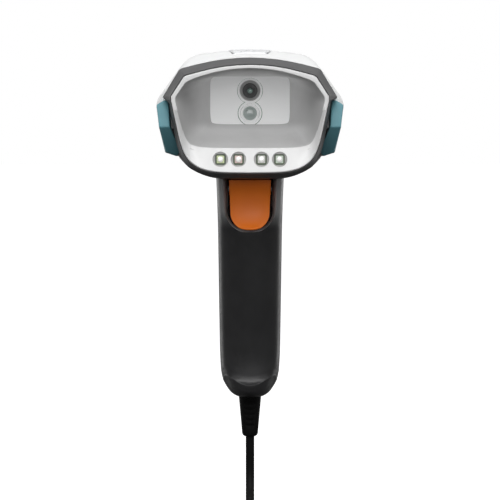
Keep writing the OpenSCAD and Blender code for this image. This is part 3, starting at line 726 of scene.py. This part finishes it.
def make_plug():
    """The plug's overmould: a ringed neck round the lead, and a body with ribs for the fingers."""
    low, high = span("usb_overmould")
    x, y = (low.x + high.x) / 2, (low.y + high.y) / 2
    neck_z = high.z - NECK_LENGTH
    neck = [(0, 0), (0, 2.9), (0.4, 3.3)]
    for k in range(NECK_RINGS):
        start = 1.4 + k * NECK_PITCH
        neck += [(start, 3.45), (start + 0.1, NECK_GROOVE_R), (start + 0.9, NECK_GROOVE_R),
                 (start + 1, 3.6 + 0.1 * k)]
    neck += [(NECK_LENGTH + 0.2, 4.2), (NECK_LENGTH + 0.2, 0)]
    collar = link_mesh("plug_neck", lathe(neck, (x, y, high.z), (0, 0, -1), 40), "relief_black")
    settle(soften(collar, 0.2))
    body = link_mesh("plug_body", block(low, (high.x, high.y, neck_z)), "relief_black")
    settle(soften(body, 2.4, segments=6))
    grips = []
    for k in range(PLUG_RIBS):
        z = low.z + RIB_FIRST + RIB_PITCH * k
        for side, edge in (("front", low.y), ("back", high.y)):
            rib = block((x - RIB_HALF, edge - RIB_PROUD, z), (x + RIB_HALF, edge + RIB_PROUD, z + RIB_TALL))
            bar = link_mesh(f"plug_rib_{side}_{k + 1}", rib, "relief_black")
            grips.append(settle(soften(bar, 0.22)))
    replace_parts(body, "usb_overmould")
    return [collar, body] + grips


lead = make_cord()
tie_pieces = make_tie()
plug_pieces = make_plug()

# ---- Head shells ----

# Depth, then the six corners of that section, as on the frame
HEAD = (
    (-52, (0, 122), (34.9, 116.3), (44.9, 101.7), (35.4, 70.2), (22.5, 62.1), (0, 61.7)),
    (-44, (0, 123.8), (34, 119.2), (46.6, 101.2), (37.2, 71.6), (23.5, 61.7), (0, 61.2)),
    (-33, (0, 126.2), (32.2, 123), (48.8, 100.4), (38.8, 73.2), (24, 61.2), (0, 60.6)),
    (-20, (0, 127.9), (31, 125.3), (50, 99.5), (39.5, 74), (24, 61), (0, 60.2)),
    (-4, (0, 127.9), (30.4, 124.9), (49.2, 98.2), (39, 74.8), (23.8, 61.4), (0, 60.5)),
    (12, (0, 126), (29, 122.4), (46, 96.6), (37, 76), (22.8, 63.4), (0, 62.4)),
    (26, (0, 122), (26, 118), (41, 95), (33, 77.6), (20.6, 67), (0, 66)),
    (36, (0, 116.6), (21.6, 112.6), (34.4, 93.4), (27.8, 79.4), (17.4, 71.4), (0, 70.5)),
    (43, (0, 109.4), (15.4, 106), (25, 92), (20.4, 82), (12.6, 76.8), (0, 76.2)),
    (46.5, (0, 102), (8.6, 100), (14.4, 91.2), (12, 85.6), (7.4, 82.4), (0, 82)))
HEAD_CORNERS = 6
# The head's top lies above this height, and a cutter for the pad's opening between these two
TOP_SIDE_Z, PAD_CUT_LOW, PAD_CUT_HIGH = 105, 118, 135
WALL = 2.2
BACK_DOME, DOME_RINGS = 1.4, 6
PARTING = 0.15
# Half widths of the status pad, its depth, and how far it and its seal stand above the cover
PAD_FRONT, PAD_BACK, PAD_DEEP = 8, 12, 2.4
PAD_GAP, PAD_PROUD, SEAL_PROUD = 1.1, 0.35, -0.8
pad_low, pad_high = span("indicator_window")
# Screws from below: where they stand, and the heights of the sleeve's lower end and of the seat
HEAD_SCREWS = ((33, -30, 71.4, 72), (21, 24, 69.6, 71))
HEAD_WELL_R, HEAD_SLEEVE_WALL, SCREW_HEAD_TALL = 2.6, 0.8, 1.6
BELOW_HEAD = 50


def head_rings(between=5):
    """The head's outer form from the bezel to its domed back."""
    flat = [[row[0]] + [c for corner in row[1:] for c in corner] for row in HEAD]
    rings = []
    for row in smooth_rows(flat, between):
        half = [(row[i], row[i + 1]) for i in range(1, 2 * HEAD_CORNERS, 2)]
        rings.append(at_y(outline(half, HEAD_SOFT), row[0]))
    last = rings[-1]
    centre = sum((Vector(p) for p in last), Vector()) / len(last)
    for k in range(1, DOME_RINGS + 1):
        size = 1 - k / (DOME_RINGS + 0.5)
        rings.append([(centre.x + (p[0] - centre.x) * size, last[0][1] + BACK_DOME * (1 - size * size),
                       centre.z + (p[2] - centre.z) * size) for p in last])
    return rings


def cut_away(bm, place, toward):
    """Keeps the part of a bmesh that lies toward a direction from a place."""
    bmesh.ops.bisect_plane(bm, geom=bm.verts[:] + bm.edges[:] + bm.faces[:], plane_co=place,
                           plane_no=toward, clear_inner=True)
    return bm


def head_shell(name, slot, z, toward):
    """The part of the head above or below a height, as a shell with a wall; its edges are rounded
    afterwards.
    """
    bm = skin(head_rings(), closed_ends=False)
    bmesh.ops.holes_fill(bm, edges=[e for e in bm.edges if e.is_boundary and e.verts[0].co.y > 0])
    face_outward(bm)
    shell = link_mesh(name, cut_away(bm, (0, 0, z), (0, 0, toward)), slot)
    settle(thicken(shell, WALL))
    return shell


def pad_outline(grow_side, grow_end):
    front, back = pad_low.y - grow_end, pad_high.y + grow_end
    return [(-PAD_FRONT - grow_side, front), (PAD_FRONT + grow_side, front),
            (PAD_BACK + grow_side, back), (-PAD_BACK - grow_side, back)]


def crown_z(rings, x, y):
    """Height of the head's top over a place, from the two sections on either side of it."""
    def height(ring):
        top = sorted(p for p in ring if p[2] > TOP_SIDE_Z)
        for a, b in zip(top, top[1:]):
            if a[0] <= x <= b[0] and b[0] > a[0]:
                return a[2] + (b[2] - a[2]) * (x - a[0]) / (b[0] - a[0])
        return top[0][2]
    for a, b in zip(rings, rings[1:]):
        if a[0][1] <= y <= b[0][1]:
            share = (y - a[0][1]) / (b[0][1] - a[0][1])
            return height(a) + (height(b) - height(a)) * share
    return height(rings[-1])


def pad_solid(grow, rise):
    """The status pad follows the cover's crown; its seal is a wider, lower copy."""
    steps, rows, rings = 12, [], head_rings()
    for k in range(steps + 1):
        y = pad_low.y + (pad_high.y - pad_low.y) * k / steps
        half = PAD_FRONT + (PAD_BACK - PAD_FRONT) * k / steps + grow
        spots = [(half * (1 - j / 4), crown_z(rings, half * (1 - j / 4), y)) for j in range(9)]
        rows.append([(x, y, z + rise) for x, z in spots]
                    + [(x, y, z - PAD_DEEP) for x, z in reversed(spots)])
    return skin(rows)


def make_head():
    cover = head_shell("cover_shell", "white_shell", split_z + PARTING, 1)
    carve(cover, cutter(prism(pad_outline(PAD_GAP, 0.1), "Z", PAD_CUT_LOW, PAD_CUT_HIGH)))
    settle(soften(cover, 0.35, segments=2, angle=50), 40)
    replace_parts(cover, "top_cover")
    lower = head_shell("lower_shell", "dark_shell", split_z - PARTING, -1)
    wells = []
    for x, y, sleeve_z, seat_z in HEAD_SCREWS:
        end = seat_z + SCREW_HEAD_TALL
        for side in (-1, 1):
            name, place = f"housing_sleeve_{side}_{abs(y)}", (side * x, y, 0)
            wells.append(screw_well(name, "dark_shell", place, (0, 0, 1), HEAD_WELL_R, HEAD_SLEEVE_WALL,
                                    (BELOW_HEAD, end), (sleeve_z, end)))
    carve(lower, *wells)
    settle(soften(lower, 0.35, segments=2, angle=50), 40)
    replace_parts(lower, "lower_housing")
    pad = link_mesh("status_pad", pad_solid(0, PAD_PROUD), "indicator")
    settle(soften(pad, 0.5, angle=40))
    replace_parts(pad, "indicator_window")
    settle(link_mesh("pad_seal", pad_solid(PAD_GAP - 0.05, SEAL_PROUD), "gasket_rubber"))


make_head()

# ---- Bezel and light cone ----

# How far the lip's lower part leans back in the middle, and how much more at the sides
LIP_LEAN, SIDE_LEAN = 4, 5
LEAN_START_Z, LEAN_RUN, LEAN_START_X, LEAN_SIDE_RUN = 97, 18, 21, 9
LIP_ROLL = 0.35
CONE_WALL, CONE_STEPS = 1.8, 12
# Places inside these, and behind the lip, are on the cavity's walls
CAVITY_HALF, CAVITY_LOW_Z = 37, 76.4
POCKET_R = 3.8
LED_SIDE = 5
LIGHT_XS = (-14.5, -5.65, 5.65, 14.5)
PLATE_HALF, DOME_R, DOME_TALL = 1.85, 1.45, 0.9
pocket_y = led_low.y + 0.5


def make_bezel():
    lip, edge = outline(LIP, CRISP), outline(BEZEL, CRISP)
    rows = ((lip, -0.12, flange_y + 0.2), (lip, -0.12, rim_y + 0.75), (lip, -0.45, rim_y + 0.45),
            (edge, 0.35, rim_y + 7.6), (edge, 0.08, rim_y + 7.9), (edge, 0, rim_y + 8.4),
            (edge, 0, bezel_y - 0.5), (edge, 0.3, bezel_y - 0.15), (edge, 1.9, bezel_y - 0.15),
            (edge, 1.9, flange_y + 0.2))
    band = skin([at_y(inset(ring, wall), y) for ring, wall, y in rows], joined_ends=True)
    bezel = link_mesh("bezel", band, "bezel_rubber")
    settle(bezel, 28)
    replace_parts(bezel, "nose_bezel")


def panel_outline(grow, cut=1.8):
    """The mouth's inner end, half a millimetre inside the panel's edge when it isn't grown."""
    grow -= 0.5
    half = (panel_high.x - panel_low.x) / 2 + grow
    top, low = panel_high.z + grow, panel_low.z - grow
    waist = (top + low) / 2 + 3
    return outline(((0, top), (half - cut, top), (half, top - cut), (half, waist), (half, waist - 1),
                    (half, low + cut), (half - cut, low), (0, low)), SQUARE_SOFT)


def lip_y(point):
    """The lip's lower part leans back towards the cone, more steeply at the sides."""
    low = ease((LEAN_START_Z - point[1]) / LEAN_RUN)
    side = ease((abs(point[0]) - LEAN_START_X) / LEAN_SIDE_RUN)
    return rim_y + low * (LIP_LEAN + SIDE_LEAN * side)


def paint_faces(piece, index, chosen):
    """Gives another of the piece's paints to the faces that a test of place and slant picks out."""
    for face in piece.data.polygons:
        if chosen(face.center / MM, abs(face.normal.y)):
            face.material_index = index


def in_cavity(spot, slant):
    behind_lip = spot.y > lip_y((spot.x, spot.z)) + 0.3
    return abs(spot.x) < CAVITY_HALF and spot.z > CAVITY_LOW_Z and behind_lip


def in_pocket(spot, slant):
    reach = min(math.hypot(spot.x - x, spot.z - light_z) for x in LIGHT_XS)
    walled = slant < 0.9 or spot.y > pocket_y - 0.1
    return reach < POCKET_R + 0.02 and spot.y < flange_y - 0.1 and walled


def make_cone():
    """The lip, the cavity behind it, its outer wall, and the pockets for the nose lights."""
    lip, mouth = outline(LIP, CRISP), outline(MOUTH, SOFT)
    rings = [at_y(lip, flange_y), at_y(lip, rim_y + 0.5), at_y(inset(lip, 0.12), rim_y + 0.15),
             at_y(inset(lip, 0.5), rim_y)]
    inner_edge = inset(mouth, -0.25)
    for t in (0.35, 0.7, 1):
        flat = [mix(a, b, t) for a, b in zip(inset(lip, 0.5), inner_edge)]
        rings.append([(p[0], rim_y + (lip_y(q) - rim_y) * t, p[1]) for p, q in zip(flat, inner_edge)])
    for k in range(CONE_STEPS + 1):
        t = k / CONE_STEPS
        flat = [mix(a, b, t) for a, b in zip(mouth, panel_outline(0))]
        starts = [lip_y(p) + LIP_ROLL for p in mouth]
        rings.append([(p[0], y + (panel_y - y) * t, p[1]) for p, y in zip(flat, starts)])
    rings += [at_y(panel_outline(0.6), panel_y + 0.05), at_y(panel_outline(0.6), collar_y),
              at_y(panel_outline(CONE_WALL), collar_y), at_y(panel_outline(CONE_WALL), panel_y),
              at_y(inset(mouth, -CONE_WALL), flange_y)]
    cone = link_mesh("cone", skin(rings, joined_ends=True), "cone_white")
    cone.data.materials.append(paints["cavity"])
    cone.data.materials.append(paints["pocket"])
    # Painted shade: the cavity's walls take the darker copy of the cone's white.
    paint_faces(cone, 1, in_cavity)
    tools = []
    deep = pocket_y - rim_y
    half = LED_SIDE / 2 + 0.12
    for x in LIGHT_XS:
        pocket = ((0, 0), (0, POCKET_R), (deep - 0.4, POCKET_R), (deep, POCKET_R - 0.4),
                  (deep, 0))
        tools.append(cutter(lathe(pocket, (x, rim_y, light_z), (0, 1, 0), 48)))
        window = rounded_rectangle((x, light_z), (half, half), 1.1)
        tools.append(cutter(prism(window, "Y", pocket_y - 0.5, flange_y + 1)))
    carve(cone, *tools)
    # Painted shade: the pockets round the nose lights take the grey copy of the cone's white.
    paint_faces(cone, 2, in_pocket)
    settle(cone, 26)
    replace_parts(cone, "light_cone")


def make_led(index, x, tint):
    """A square package with a dark frame, a tinted plate and a clear dome."""
    half = LED_SIDE / 2
    sides = prism(rounded_rectangle((x, light_z), (half, half), 1), "Y", led_low.y, led_high.y)
    body = link_mesh(f"light_{index}_body", sides, "led", paint="led_frame")
    settle(soften(body, 0.2, segments=2, angle=50))
    plate = block((x - PLATE_HALF, led_low.y - 0.12, light_z - PLATE_HALF),
                  (x + PLATE_HALF, led_low.y + 0.3, light_z + PLATE_HALF))
    settle(soften(link_mesh(f"light_{index}_plate", plate, "led", paint=tint), 0.28))
    turn = [math.radians(a) for a in range(0, 91, 10)]
    dome = [(DOME_TALL * (1 - math.cos(a)) - DOME_TALL - 0.05, DOME_R * math.sin(a)) for a in turn]
    bead = lathe(dome + [(0, 0)], (x, led_low.y, light_z), (0, 1, 0), 40)
    settle(link_mesh(f"light_{index}_dome", bead, "led", paint="led_dome"))
    return body


make_bezel()
make_cone()
LED_TINTS = ("led_green", "led_pink", "led_plain", "led_mint")
for number, (where, tint) in enumerate(zip(LIGHT_XS, LED_TINTS), 1):
    package = make_led(number, where, tint)
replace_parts(package, "nose_leds")

# ---- Bumpers ----

# The right bumper seen from the front, from its inner top corner clockwise: x and z
GUARD = ((40.4, 100.1), (42.6, 100.2), (46.2, 98), (44.8, 86.9), (41.8, 74.4), (36.8, 72.5), (34.6, 75.2),
         (39.5, 86.9))
# The crease is the line between corners 3 and 7
CREASE_Z, CREASE_Y = 86.9, -63.6
UPPER_SLOPE, LOWER_SLOPE = 0.44, 0.88
UPPER_FACE, LOWER_FACE = (0, 1, 2, 3, 7), (3, 4, 5, 6, 7)
# Depths behind the face, and how far the corners outside GUARD_SIDE_X stand out there
GUARD_BACK = ((-50, 0.7), (-39, 1.5), (-35.5, 1.2), (-34, 0.3))
GUARD_SIDE_X = 41


def make_bumper(name, side, node):
    """Two flat faces that meet in a crease, the most forward line, and sides that run back."""
    def front_y(z):
        return CREASE_Y + abs(z - CREASE_Z) * (UPPER_SLOPE if z > CREASE_Z else LOWER_SLOPE)

    rows = [[(side * x, front_y(z), z) for x, z in GUARD]]
    for y, grow in GUARD_BACK:
        rows.append([(side * (x + grow if x > GUARD_SIDE_X else x), y, z) for x, z in GUARD])
    bm = bmesh.new()
    rings = [[bm.verts.new(p) for p in row] for row in rows]
    for a, b in zip(rings, rings[1:]):
        for i in range(len(GUARD)):
            j = (i + 1) % len(GUARD)
            bm.faces.new((a[i], a[j], b[j], b[i]))
    for corners in (UPPER_FACE, LOWER_FACE):
        bm.faces.new([rings[0][i] for i in corners])
    bm.faces.new(rings[-1])
    face_outward(bm)
    piece = link_mesh(name, bm, "teal_rubber")
    settle(soften(piece, 0.55, angle=24), 30)
    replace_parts(piece, node)


make_bumper("bumper_pad_right", 1, "bumper_right")
make_bumper("bumper_pad_left", -1, "bumper_left")

# ---- Camera and aimer ----

# Radii: the two discs of the surround, the two barrels, and the aimer's window
CAMERA_RING, AIMER_RING = 6.52, 6.12
CAMERA_R, AIMER_R, AIMER_GLASS = 3.9, 4.9, 3.55
PLATE_CUT_Z = panel_low.z + 0.5


def eight_outline(steps=40):
    """Two overlapping discs, the lower one cut flat at the panel's edge."""
    gap = camera_z - aimer_z
    drop = (gap * gap + CAMERA_RING ** 2 - AIMER_RING ** 2) / (2 * gap)
    half = math.sqrt(CAMERA_RING ** 2 - drop * drop)
    points = []
    upper = math.atan2(-drop, half)
    lower = math.atan2(gap - drop, -half), 2 * math.pi + math.atan2(gap - drop, half)
    for radius, z, first, last in ((CAMERA_RING, camera_z, upper, math.pi - upper),
                                   (AIMER_RING, aimer_z, *lower)):
        for k in range(steps):
            a = first + (last - first) * k / (steps - 1)
            points.append((radius * math.cos(a), max(PLATE_CUT_Z, z + radius * math.sin(a))))
    return points


def on_funnel(spot, slant):
    reach = math.hypot(spot.x, spot.z - camera_z)
    return slant < 0.95 and reach < CAMERA_RING - 0.5 and spot.y < panel_y + 2


def turned(name, profile, z, slot, joined=False):
    """A piece turned about the line of sight at a height."""
    return link_mesh(name, lathe(profile, (0, panel_y, z), (0, 1, 0), joined=joined), slot)


def make_optics():
    plate = link_mesh("eye_plate", prism(eight_outline(), "Y", panel_y, panel_y + 2.4), "surround")
    hole = CAMERA_R + 0.05
    funnel = ((-1, 0), (-1, 6.2), (0, 5.4), (0.25, 4.7), (0.8, hole), (4, hole), (4, 0))
    carve(plate, cutter(lathe(funnel, (0, panel_y, camera_z), (0, 1, 0))),
          cutter(lathe(tube(-1, 4, AIMER_R + 0.14), (0, panel_y, aimer_z), (0, 1, 0))))
    # Painted shade: the funnel round the camera takes the darker grey.
    plate.data.materials.append(paints["funnel"])
    paint_faces(plate, 1, on_funnel)
    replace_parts(plate, "lens_surround")
    baffle = ((2.7, 0), (2.7, 1.75), (2.3, 1.8), (1.7, 2.5), (1.7, 2.9), (1.1, 3.1), (0.8, 3.65),
              (0.9, CAMERA_R), (12, CAMERA_R), (12, 0))
    barrel = turned("camera_tube", baffle, camera_z, "black_barrel")
    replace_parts(settle(barrel), "camera_barrel")
    glass = ((1.85, 0), (1.88, 0.4), (1.98, 0.8), (2.2, 1.2), (2.5, 1.4), (2.9, 1.4), (2.9, 0))
    lens = turned("camera_glass", glass, camera_z, "coated_glass")
    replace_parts(settle(lens, 60), "camera_lens")
    ring = ((0.6, AIMER_GLASS + 0.02), (0.3, 3.65), (0.05, 3.95), (0, 4.3), (0.1, 4.65), (0.35, 4.85),
            (0.7, AIMER_R), (12, AIMER_R), (12, AIMER_GLASS + 0.02))
    collar = turned("aimer_ring", ring, aimer_z, "surround", joined=True)
    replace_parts(settle(collar, 40), "aimer_barrel")
    pane = ((0.35, 0), (0.4, 1.2), (0.6, 2.4), (0.9, 3.2), (1.2, AIMER_GLASS), (2, AIMER_GLASS),
            (2, 0))
    window = turned("aimer_glass", pane, aimer_z, "aimer_glass")
    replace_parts(settle(window, 60), "aimer_window")


make_optics()

# ---- Grip ----

# Height, front, back and half width, from the top down
GRIP = ((76, -31.4, 8, 18.3), (62, -30.6, 8.4, 17.9), (50, -29.2, 9.6, 17.5), (42, -27.2, 10.7, 17.3),
        (34, -24.4, 11.8, 17.2), (12, -19.6, 15.6, 17), (-12, -14.6, 20, 16.8), (-30, -11, 23.4, 16.6),
        (-38, -9.9, 24.9, 16.4), (-45, -9.9, 26.1, 16), (-47, -10.1, 26.3, 15.7), (-48.2, -10.5, 26.4, 15.5),
        (-49.1, -11.1, 26.5, 15.3), (-49.8, -11.9, 26.6, 15.1), (-50.4, -12.8, 26.6, 15),
        (-50.8, -12.9, 26.6, 14.9), (-52.5, -12.5, 26.5, 14.1), (-55, -11.3, 25.8, 12.6),
        (-57.4, -7.3, 24.4, 10.6), (-59.5, 2.5, 21.5, 7.4))
GRIP_LEAN = 0.2133
GRIP_WALL = 2.4
GRIP_TOP, GRIP_BOTTOM = 62.3, -59.5
SEAM, SEAM_GAP = 0.3, 0.09
# How square the section is, how much squarer beside the trigger, and where that sets in and is full
ROUND_POWER, SQUARER, SQUARE_START, SQUARE_RUN = 2.5, 1.6, 36, 10
# The toe's edge climbs and its ledge fades out from the middle to TOE_HALF
TOE_CLIMB, TOE_HALF, TOE_SHARE = 4.2, 15, 0.55
TOE_START_Z, TOE_START_Y, TOE_RUN, TOE_END_RUN = -38, -9.9, 10, 8
# The hollow's floor stands above the grip's own by the wall, which sets in below this height
FLOOR_START_Z, FLOOR_RUN = -45, 10
RECESS_HALF, RECESS_Z, RECESS_BACK = 11.8, 33.9, -20
RECESS_BEND, RECESS_TOP, BEND_STEPS = 10.5, 70, 16
SIDE_SLOPE, FLOOR_SLOPE = 0.25, 0.26
# The front hollow is lower and fuller below HOLLOW_SPLIT, and only behind the recess above it
HOLLOW_SPLIT_LOW, HOLLOW_SPLIT_HIGH = 27, 26
# Screws from behind: their height, and how far the sleeve round each head reaches behind the axis
GRIP_SCREWS = ((22, 12.5), (-34, 10.9))
GRIP_SCREW_X, GRIP_SEAT, WELL_R, GRIP_SLEEVE_WALL, GRIP_SLEEVE_START = 11, 9.5, 2.3, 0.55, 5.5
BEHIND_GRIP = 30
LEAD_HOLE_R, LEAD_HOLE_Z, LEAD_HOLE_TALL = 6.45, -66, 12


def grip_bm(wall=0, between=4, steps=72):
    """The grip's solid, squarer where it carries the trigger than where the hand closes round it.

    The edge of its toe is lowest in the middle and climbs towards the sides."""
    rings = []
    for z, front, back, half in smooth_rows(GRIP, between):
        axis = -GRIP_LEAN * z
        square = SQUARER * ease((z - SQUARE_START) / SQUARE_RUN)
        floor_share = clamp((FLOOR_START_Z - z) / FLOOR_RUN)
        toe_share = ease((TOE_START_Z - z) / TOE_RUN)
        toe_share *= ease((z - GRIP_BOTTOM) / TOE_END_RUN)
        ring = []
        for i in range(steps):
            c, q = math.cos(2 * math.pi * i / steps), math.sin(2 * math.pi * i / steps)
            power = 2 / (ROUND_POWER + (square if q < 0 else 0))
            x = (half - wall) * math.copysign(abs(c) ** power, c)
            aside = math.sin(math.pi / 2 * min(1, abs(x) / TOE_HALF)) ** 2
            depth = (back - axis if q > 0 else axis - front) - wall
            if q < 0 and z < TOE_START_Z:
                depth -= max(0, TOE_START_Y - front) * aside
            climb = TOE_CLIMB * aside * ease(-q / TOE_SHARE)
            ring.append((x, axis + depth * math.copysign(abs(q) ** power, q),
                         z + wall * floor_share + climb * toe_share))
        rings.append(ring)
    return halve(skin(rings), (0, 0, GRIP_TOP), (0, 0, -1))


def halve(bm, place, toward):
    """Keeps one side of a closed solid and closes it again."""
    cut_away(bm, place, toward)
    bmesh.ops.holes_fill(bm, edges=[e for e in bm.edges if e.is_boundary])
    face_outward(bm)
    return bm


def recess_size(y):
    """Half the width of the recess's flat floor, and the height where its side walls bend in."""
    ahead = RECESS_BACK - y
    return (RECESS_HALF + SIDE_SLOPE * ahead - RECESS_BEND,
            RECESS_Z - FLOOR_SLOPE * ahead + RECESS_BEND)


def recess_ring(y):
    """A U round the trigger, which widens towards the front."""
    half, turn_z = recess_size(y)
    turn = [math.pi / 2 * k / BEND_STEPS for k in range(BEND_STEPS + 1)]
    edge = [(half + RECESS_BEND, RECESS_TOP)]
    edge += [(half + RECESS_BEND * math.cos(a), turn_z - RECESS_BEND * math.sin(a)) for a in turn]
    return [(x, y, z) for x, z in edge] + [(-x, y, z) for x, z in reversed(edge)]


def on_recess(spot, slant):
    """Whether a place lies on the wall or on the floor of the recess."""
    half, turn_z = recess_size(spot.y)
    across, down = abs(spot.x) - half, turn_z - spot.z
    reach, near = (across, 0.3) if down < 0 else (math.hypot(across, down), 0.4)
    return slant < 0.5 and spot.y < RECESS_BACK + 0.1 and abs(reach - RECESS_BEND) < near


def lead_hole():
    return cutter(lathe(tube(0, LEAD_HOLE_TALL, LEAD_HOLE_R), (0, cord_y, LEAD_HOLE_Z), (0, 0, 1)))


def make_grip():
    """Two shells that meet on the grip's leaning axis, and the sleeves round the screw heads."""
    axis_back = (0, 1, GRIP_LEAN)
    axis_front = (0, -1, -GRIP_LEAN)
    solid = halve(grip_bm(), (0, SEAM - SEAM_GAP, 0), axis_front)
    front = link_mesh("grip_front_shell", solid, "grip_plastic")
    below = halve(grip_bm(GRIP_WALL), (0, SEAM + 5, 0), axis_front)
    above = halve(grip_bm(GRIP_WALL), (0, RECESS_BACK - 0.5, 0), (0, 1, 0))
    carve(front, cutter(skin([recess_ring(y) for y in (-45, -30, RECESS_BACK)])),
          cutter(halve(below, (0, 0, HOLLOW_SPLIT_LOW), (0, 0, -1))),
          cutter(halve(above, (0, 0, HOLLOW_SPLIT_HIGH), (0, 0, 1))), lead_hole())
    # Painted light: the recess walls round the trigger take the pale grey.
    front.data.materials.append(paints["recess_wall"])
    paint_faces(front, 1, on_recess)
    settle(soften(front, 0.45, angle=40), 32)
    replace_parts(front, "grip_front")
    solid = halve(grip_bm(), (0, SEAM + SEAM_GAP, 0), axis_back)
    rear = link_mesh("grip_rear_shell", solid, "grip_plastic")
    tools = [cutter(halve(grip_bm(GRIP_WALL), (0, SEAM - 5, 0), axis_back)), lead_hole()]
    for z, sleeve_end in GRIP_SCREWS:
        for side in (-1, 1):
            place = (side * GRIP_SCREW_X, -GRIP_LEAN * z, z)
            tools.append(screw_well(f"grip_sleeve_{side}_{abs(z)}", "grip_plastic", place, (0, 1, 0),
                                    WELL_R, GRIP_SLEEVE_WALL, (GRIP_SEAT, BEHIND_GRIP),
                                    (GRIP_SLEEVE_START, sleeve_end)))
    carve(rear, *tools)
    settle(soften(rear, 0.3, segments=2, angle=40), 32)
    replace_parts(rear, "grip_rear")


make_grip()

# ---- Trigger ----

# Height and depth down the middle of the trigger's face
FACE = ((60.2, -28.9), (57, -28.5), (54, -27.9), (51, -27.5), (48, -27.3), (45.5, -27.3), (43, -27.5),
        (41, -27.8), (39, -28.3), (37.4, -28.85), (36, -29.5), (35.2, -29.95), (34.6, -29.9), (34.2, -29.5))
TRIGGER_TIP_Z, TRIGGER_TOP_Z, TRIGGER_BEND = 34.2, 62, 9
# Half widths: of the flat tip, where the bend ends, and at the top
TIP_HALF, BEND_HALF, TRIGGER_TOP_HALF = 1.2, 10.2, 11
# How far the face's sides lie behind its middle, and how far its very edge rolls back
CROWN, EDGE_ROLL = 1.3, 0.5
PAD_WALL, ACROSS = 2.4, 24
WEB_X, WEB_HALF = 9.2, 0.9
POST_LONG = 9.6
pivot_y, pivot_z = middle("trigger_pin", "y"), middle("trigger_pin", "z")
spring_y, spring_z = span("trigger_spring")[0].y, middle("trigger_spring", "z")
plunger_y, plunger_z = span("switch_plunger")[0].y, middle("switch_plunger", "z")


def trigger_half(z):
    turn_z = TRIGGER_TIP_Z + TRIGGER_BEND
    if z < turn_z:
        return TIP_HALF + math.sqrt(max(0, TRIGGER_BEND ** 2 - (turn_z - z) ** 2))
    return BEND_HALF + (TRIGGER_TOP_HALF - BEND_HALF) * (z - turn_z) / (TRIGGER_TOP_Z - turn_z)


def trigger_piece(name, bm):
    return link_mesh(name, bm, "trigger_orange", body="trigger")


def make_trigger():
    """A crowned finger pad on a hub, with a post for the switch and a cup for the spring."""
    bm = bmesh.new()
    grid = []
    shares = [math.sin(math.pi / 2 * (2 * j / ACROSS - 1)) for j in range(ACROSS + 1)]
    for z, y in smooth_rows(FACE, 3):
        half = max(0.6, trigger_half(z))
        crown = CROWN * (half / TRIGGER_TOP_HALF) ** 2
        grid.append([bm.verts.new((half * u, y + crown * u ** 2 + EDGE_ROLL * abs(u) ** 6, z))
                     for u in shares])
    for a, b in zip(grid, grid[1:]):
        for j in range(ACROSS):
            bm.faces.new((a[j], b[j], b[j + 1], a[j + 1]))
    face_outward(bm)
    bm.faces.ensure_lookup_table()
    if bm.faces[ACROSS // 2].normal.y > 0:
        bmesh.ops.reverse_faces(bm, faces=bm.faces)
    pad = trigger_piece("trigger_pad", bm)
    settle(thicken(pad, PAD_WALL))
    settle(soften(pad, 0.8, segments=4, angle=50), 60)
    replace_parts(pad, "trigger")
    hub = ((-11, 1.56), (-11, 3.1), (-10.7, 3.4), (10.7, 3.4), (11, 3.1), (11, 1.56))
    barrel = lathe(hub, (0, pivot_y, pivot_z), (1, 0, 0), 48, joined=True)
    settle(trigger_piece("trigger_hub", barrel))
    webs = [block((-10, -26.5, pivot_z - 1.1), (10, pivot_y - 2, pivot_z + 1.1))]
    rib = ((-26.6, 57.5), (-25.2, 48), (-25.6, 43.5), (-24, 43.5), (pivot_y - 1, 53),
           (pivot_y - 2.2, 57.5))
    webs += [prism(rib, "X", side * WEB_X - WEB_HALF, side * WEB_X + WEB_HALF) for side in (-1, 1)]
    for index, web in enumerate(webs):
        settle(soften(trigger_piece(f"trigger_web_{index + 1}", web), 0.25, segments=2))
    post = ((0, 0), (0, 1.2), (8.4, 0.95), (9.5, 0.9), (POST_LONG, 0.8), (POST_LONG, 0))
    foot = (0, plunger_y - 0.15 - POST_LONG, plunger_z)
    settle(trigger_piece("trigger_post", lathe(post, foot, (0, 1, 0), 32)))
    cup = ((0, 0), (0, 3.4), (1.2, 3.3), (1.2, 0))
    settle(trigger_piece("spring_seat", lathe(cup, (0, spring_y - 1.2, spring_z), (0, 1, 0), 32)))


make_trigger()

# ---- Strain relief ----

RELIEF_TOP_R, RELIEF_TIP_R = 6.3, 4.4
RELIEF_START_Z = -58
SLOTS, FIRST_SLOT, SLOT_PITCH, SLOT_DEEP, SLOT_TALL, SLOT_HALF = 5, 5.5, 3, 1.1, 0.9, 6


def make_relief():
    """A tapered sleeve with slots in front and behind, and a plain rounded tip round the cord."""
    length = RELIEF_START_Z - relief_low.z
    profile = ((-4, 0), (-4, RELIEF_TOP_R), (1.5, RELIEF_TOP_R), (length - 1.6, RELIEF_TIP_R),
               (length - 0.7, RELIEF_TIP_R - 0.3), (length - 0.15, RELIEF_TIP_R - 0.9),
               (length, RELIEF_TIP_R - 1.5), (length, 0))
    place = (0, cord_y, RELIEF_START_Z)
    sleeve = link_mesh("relief_sleeve", lathe(profile, place, (0, 0, -1), 56), "relief_black")
    tools = []
    for k in range(SLOTS):
        down = FIRST_SLOT + k * SLOT_PITCH
        top = RELIEF_START_Z - down
        edge = RELIEF_TOP_R + (RELIEF_TIP_R - RELIEF_TOP_R) * down / length
        for near, far in ((-edge - 1, SLOT_DEEP - edge), (edge - SLOT_DEEP, edge + 1)):
            tools.append(cutter(block((-SLOT_HALF, cord_y + near, top - SLOT_TALL),
                                      (SLOT_HALF, cord_y + far, top))))
    carve(sleeve, *tools)
    settle(soften(sleeve, 0.12, segments=2, angle=40), 30)
    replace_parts(sleeve, "strain_relief")


make_relief()

# ---- Final update ----

bpy.context.view_layer.update()
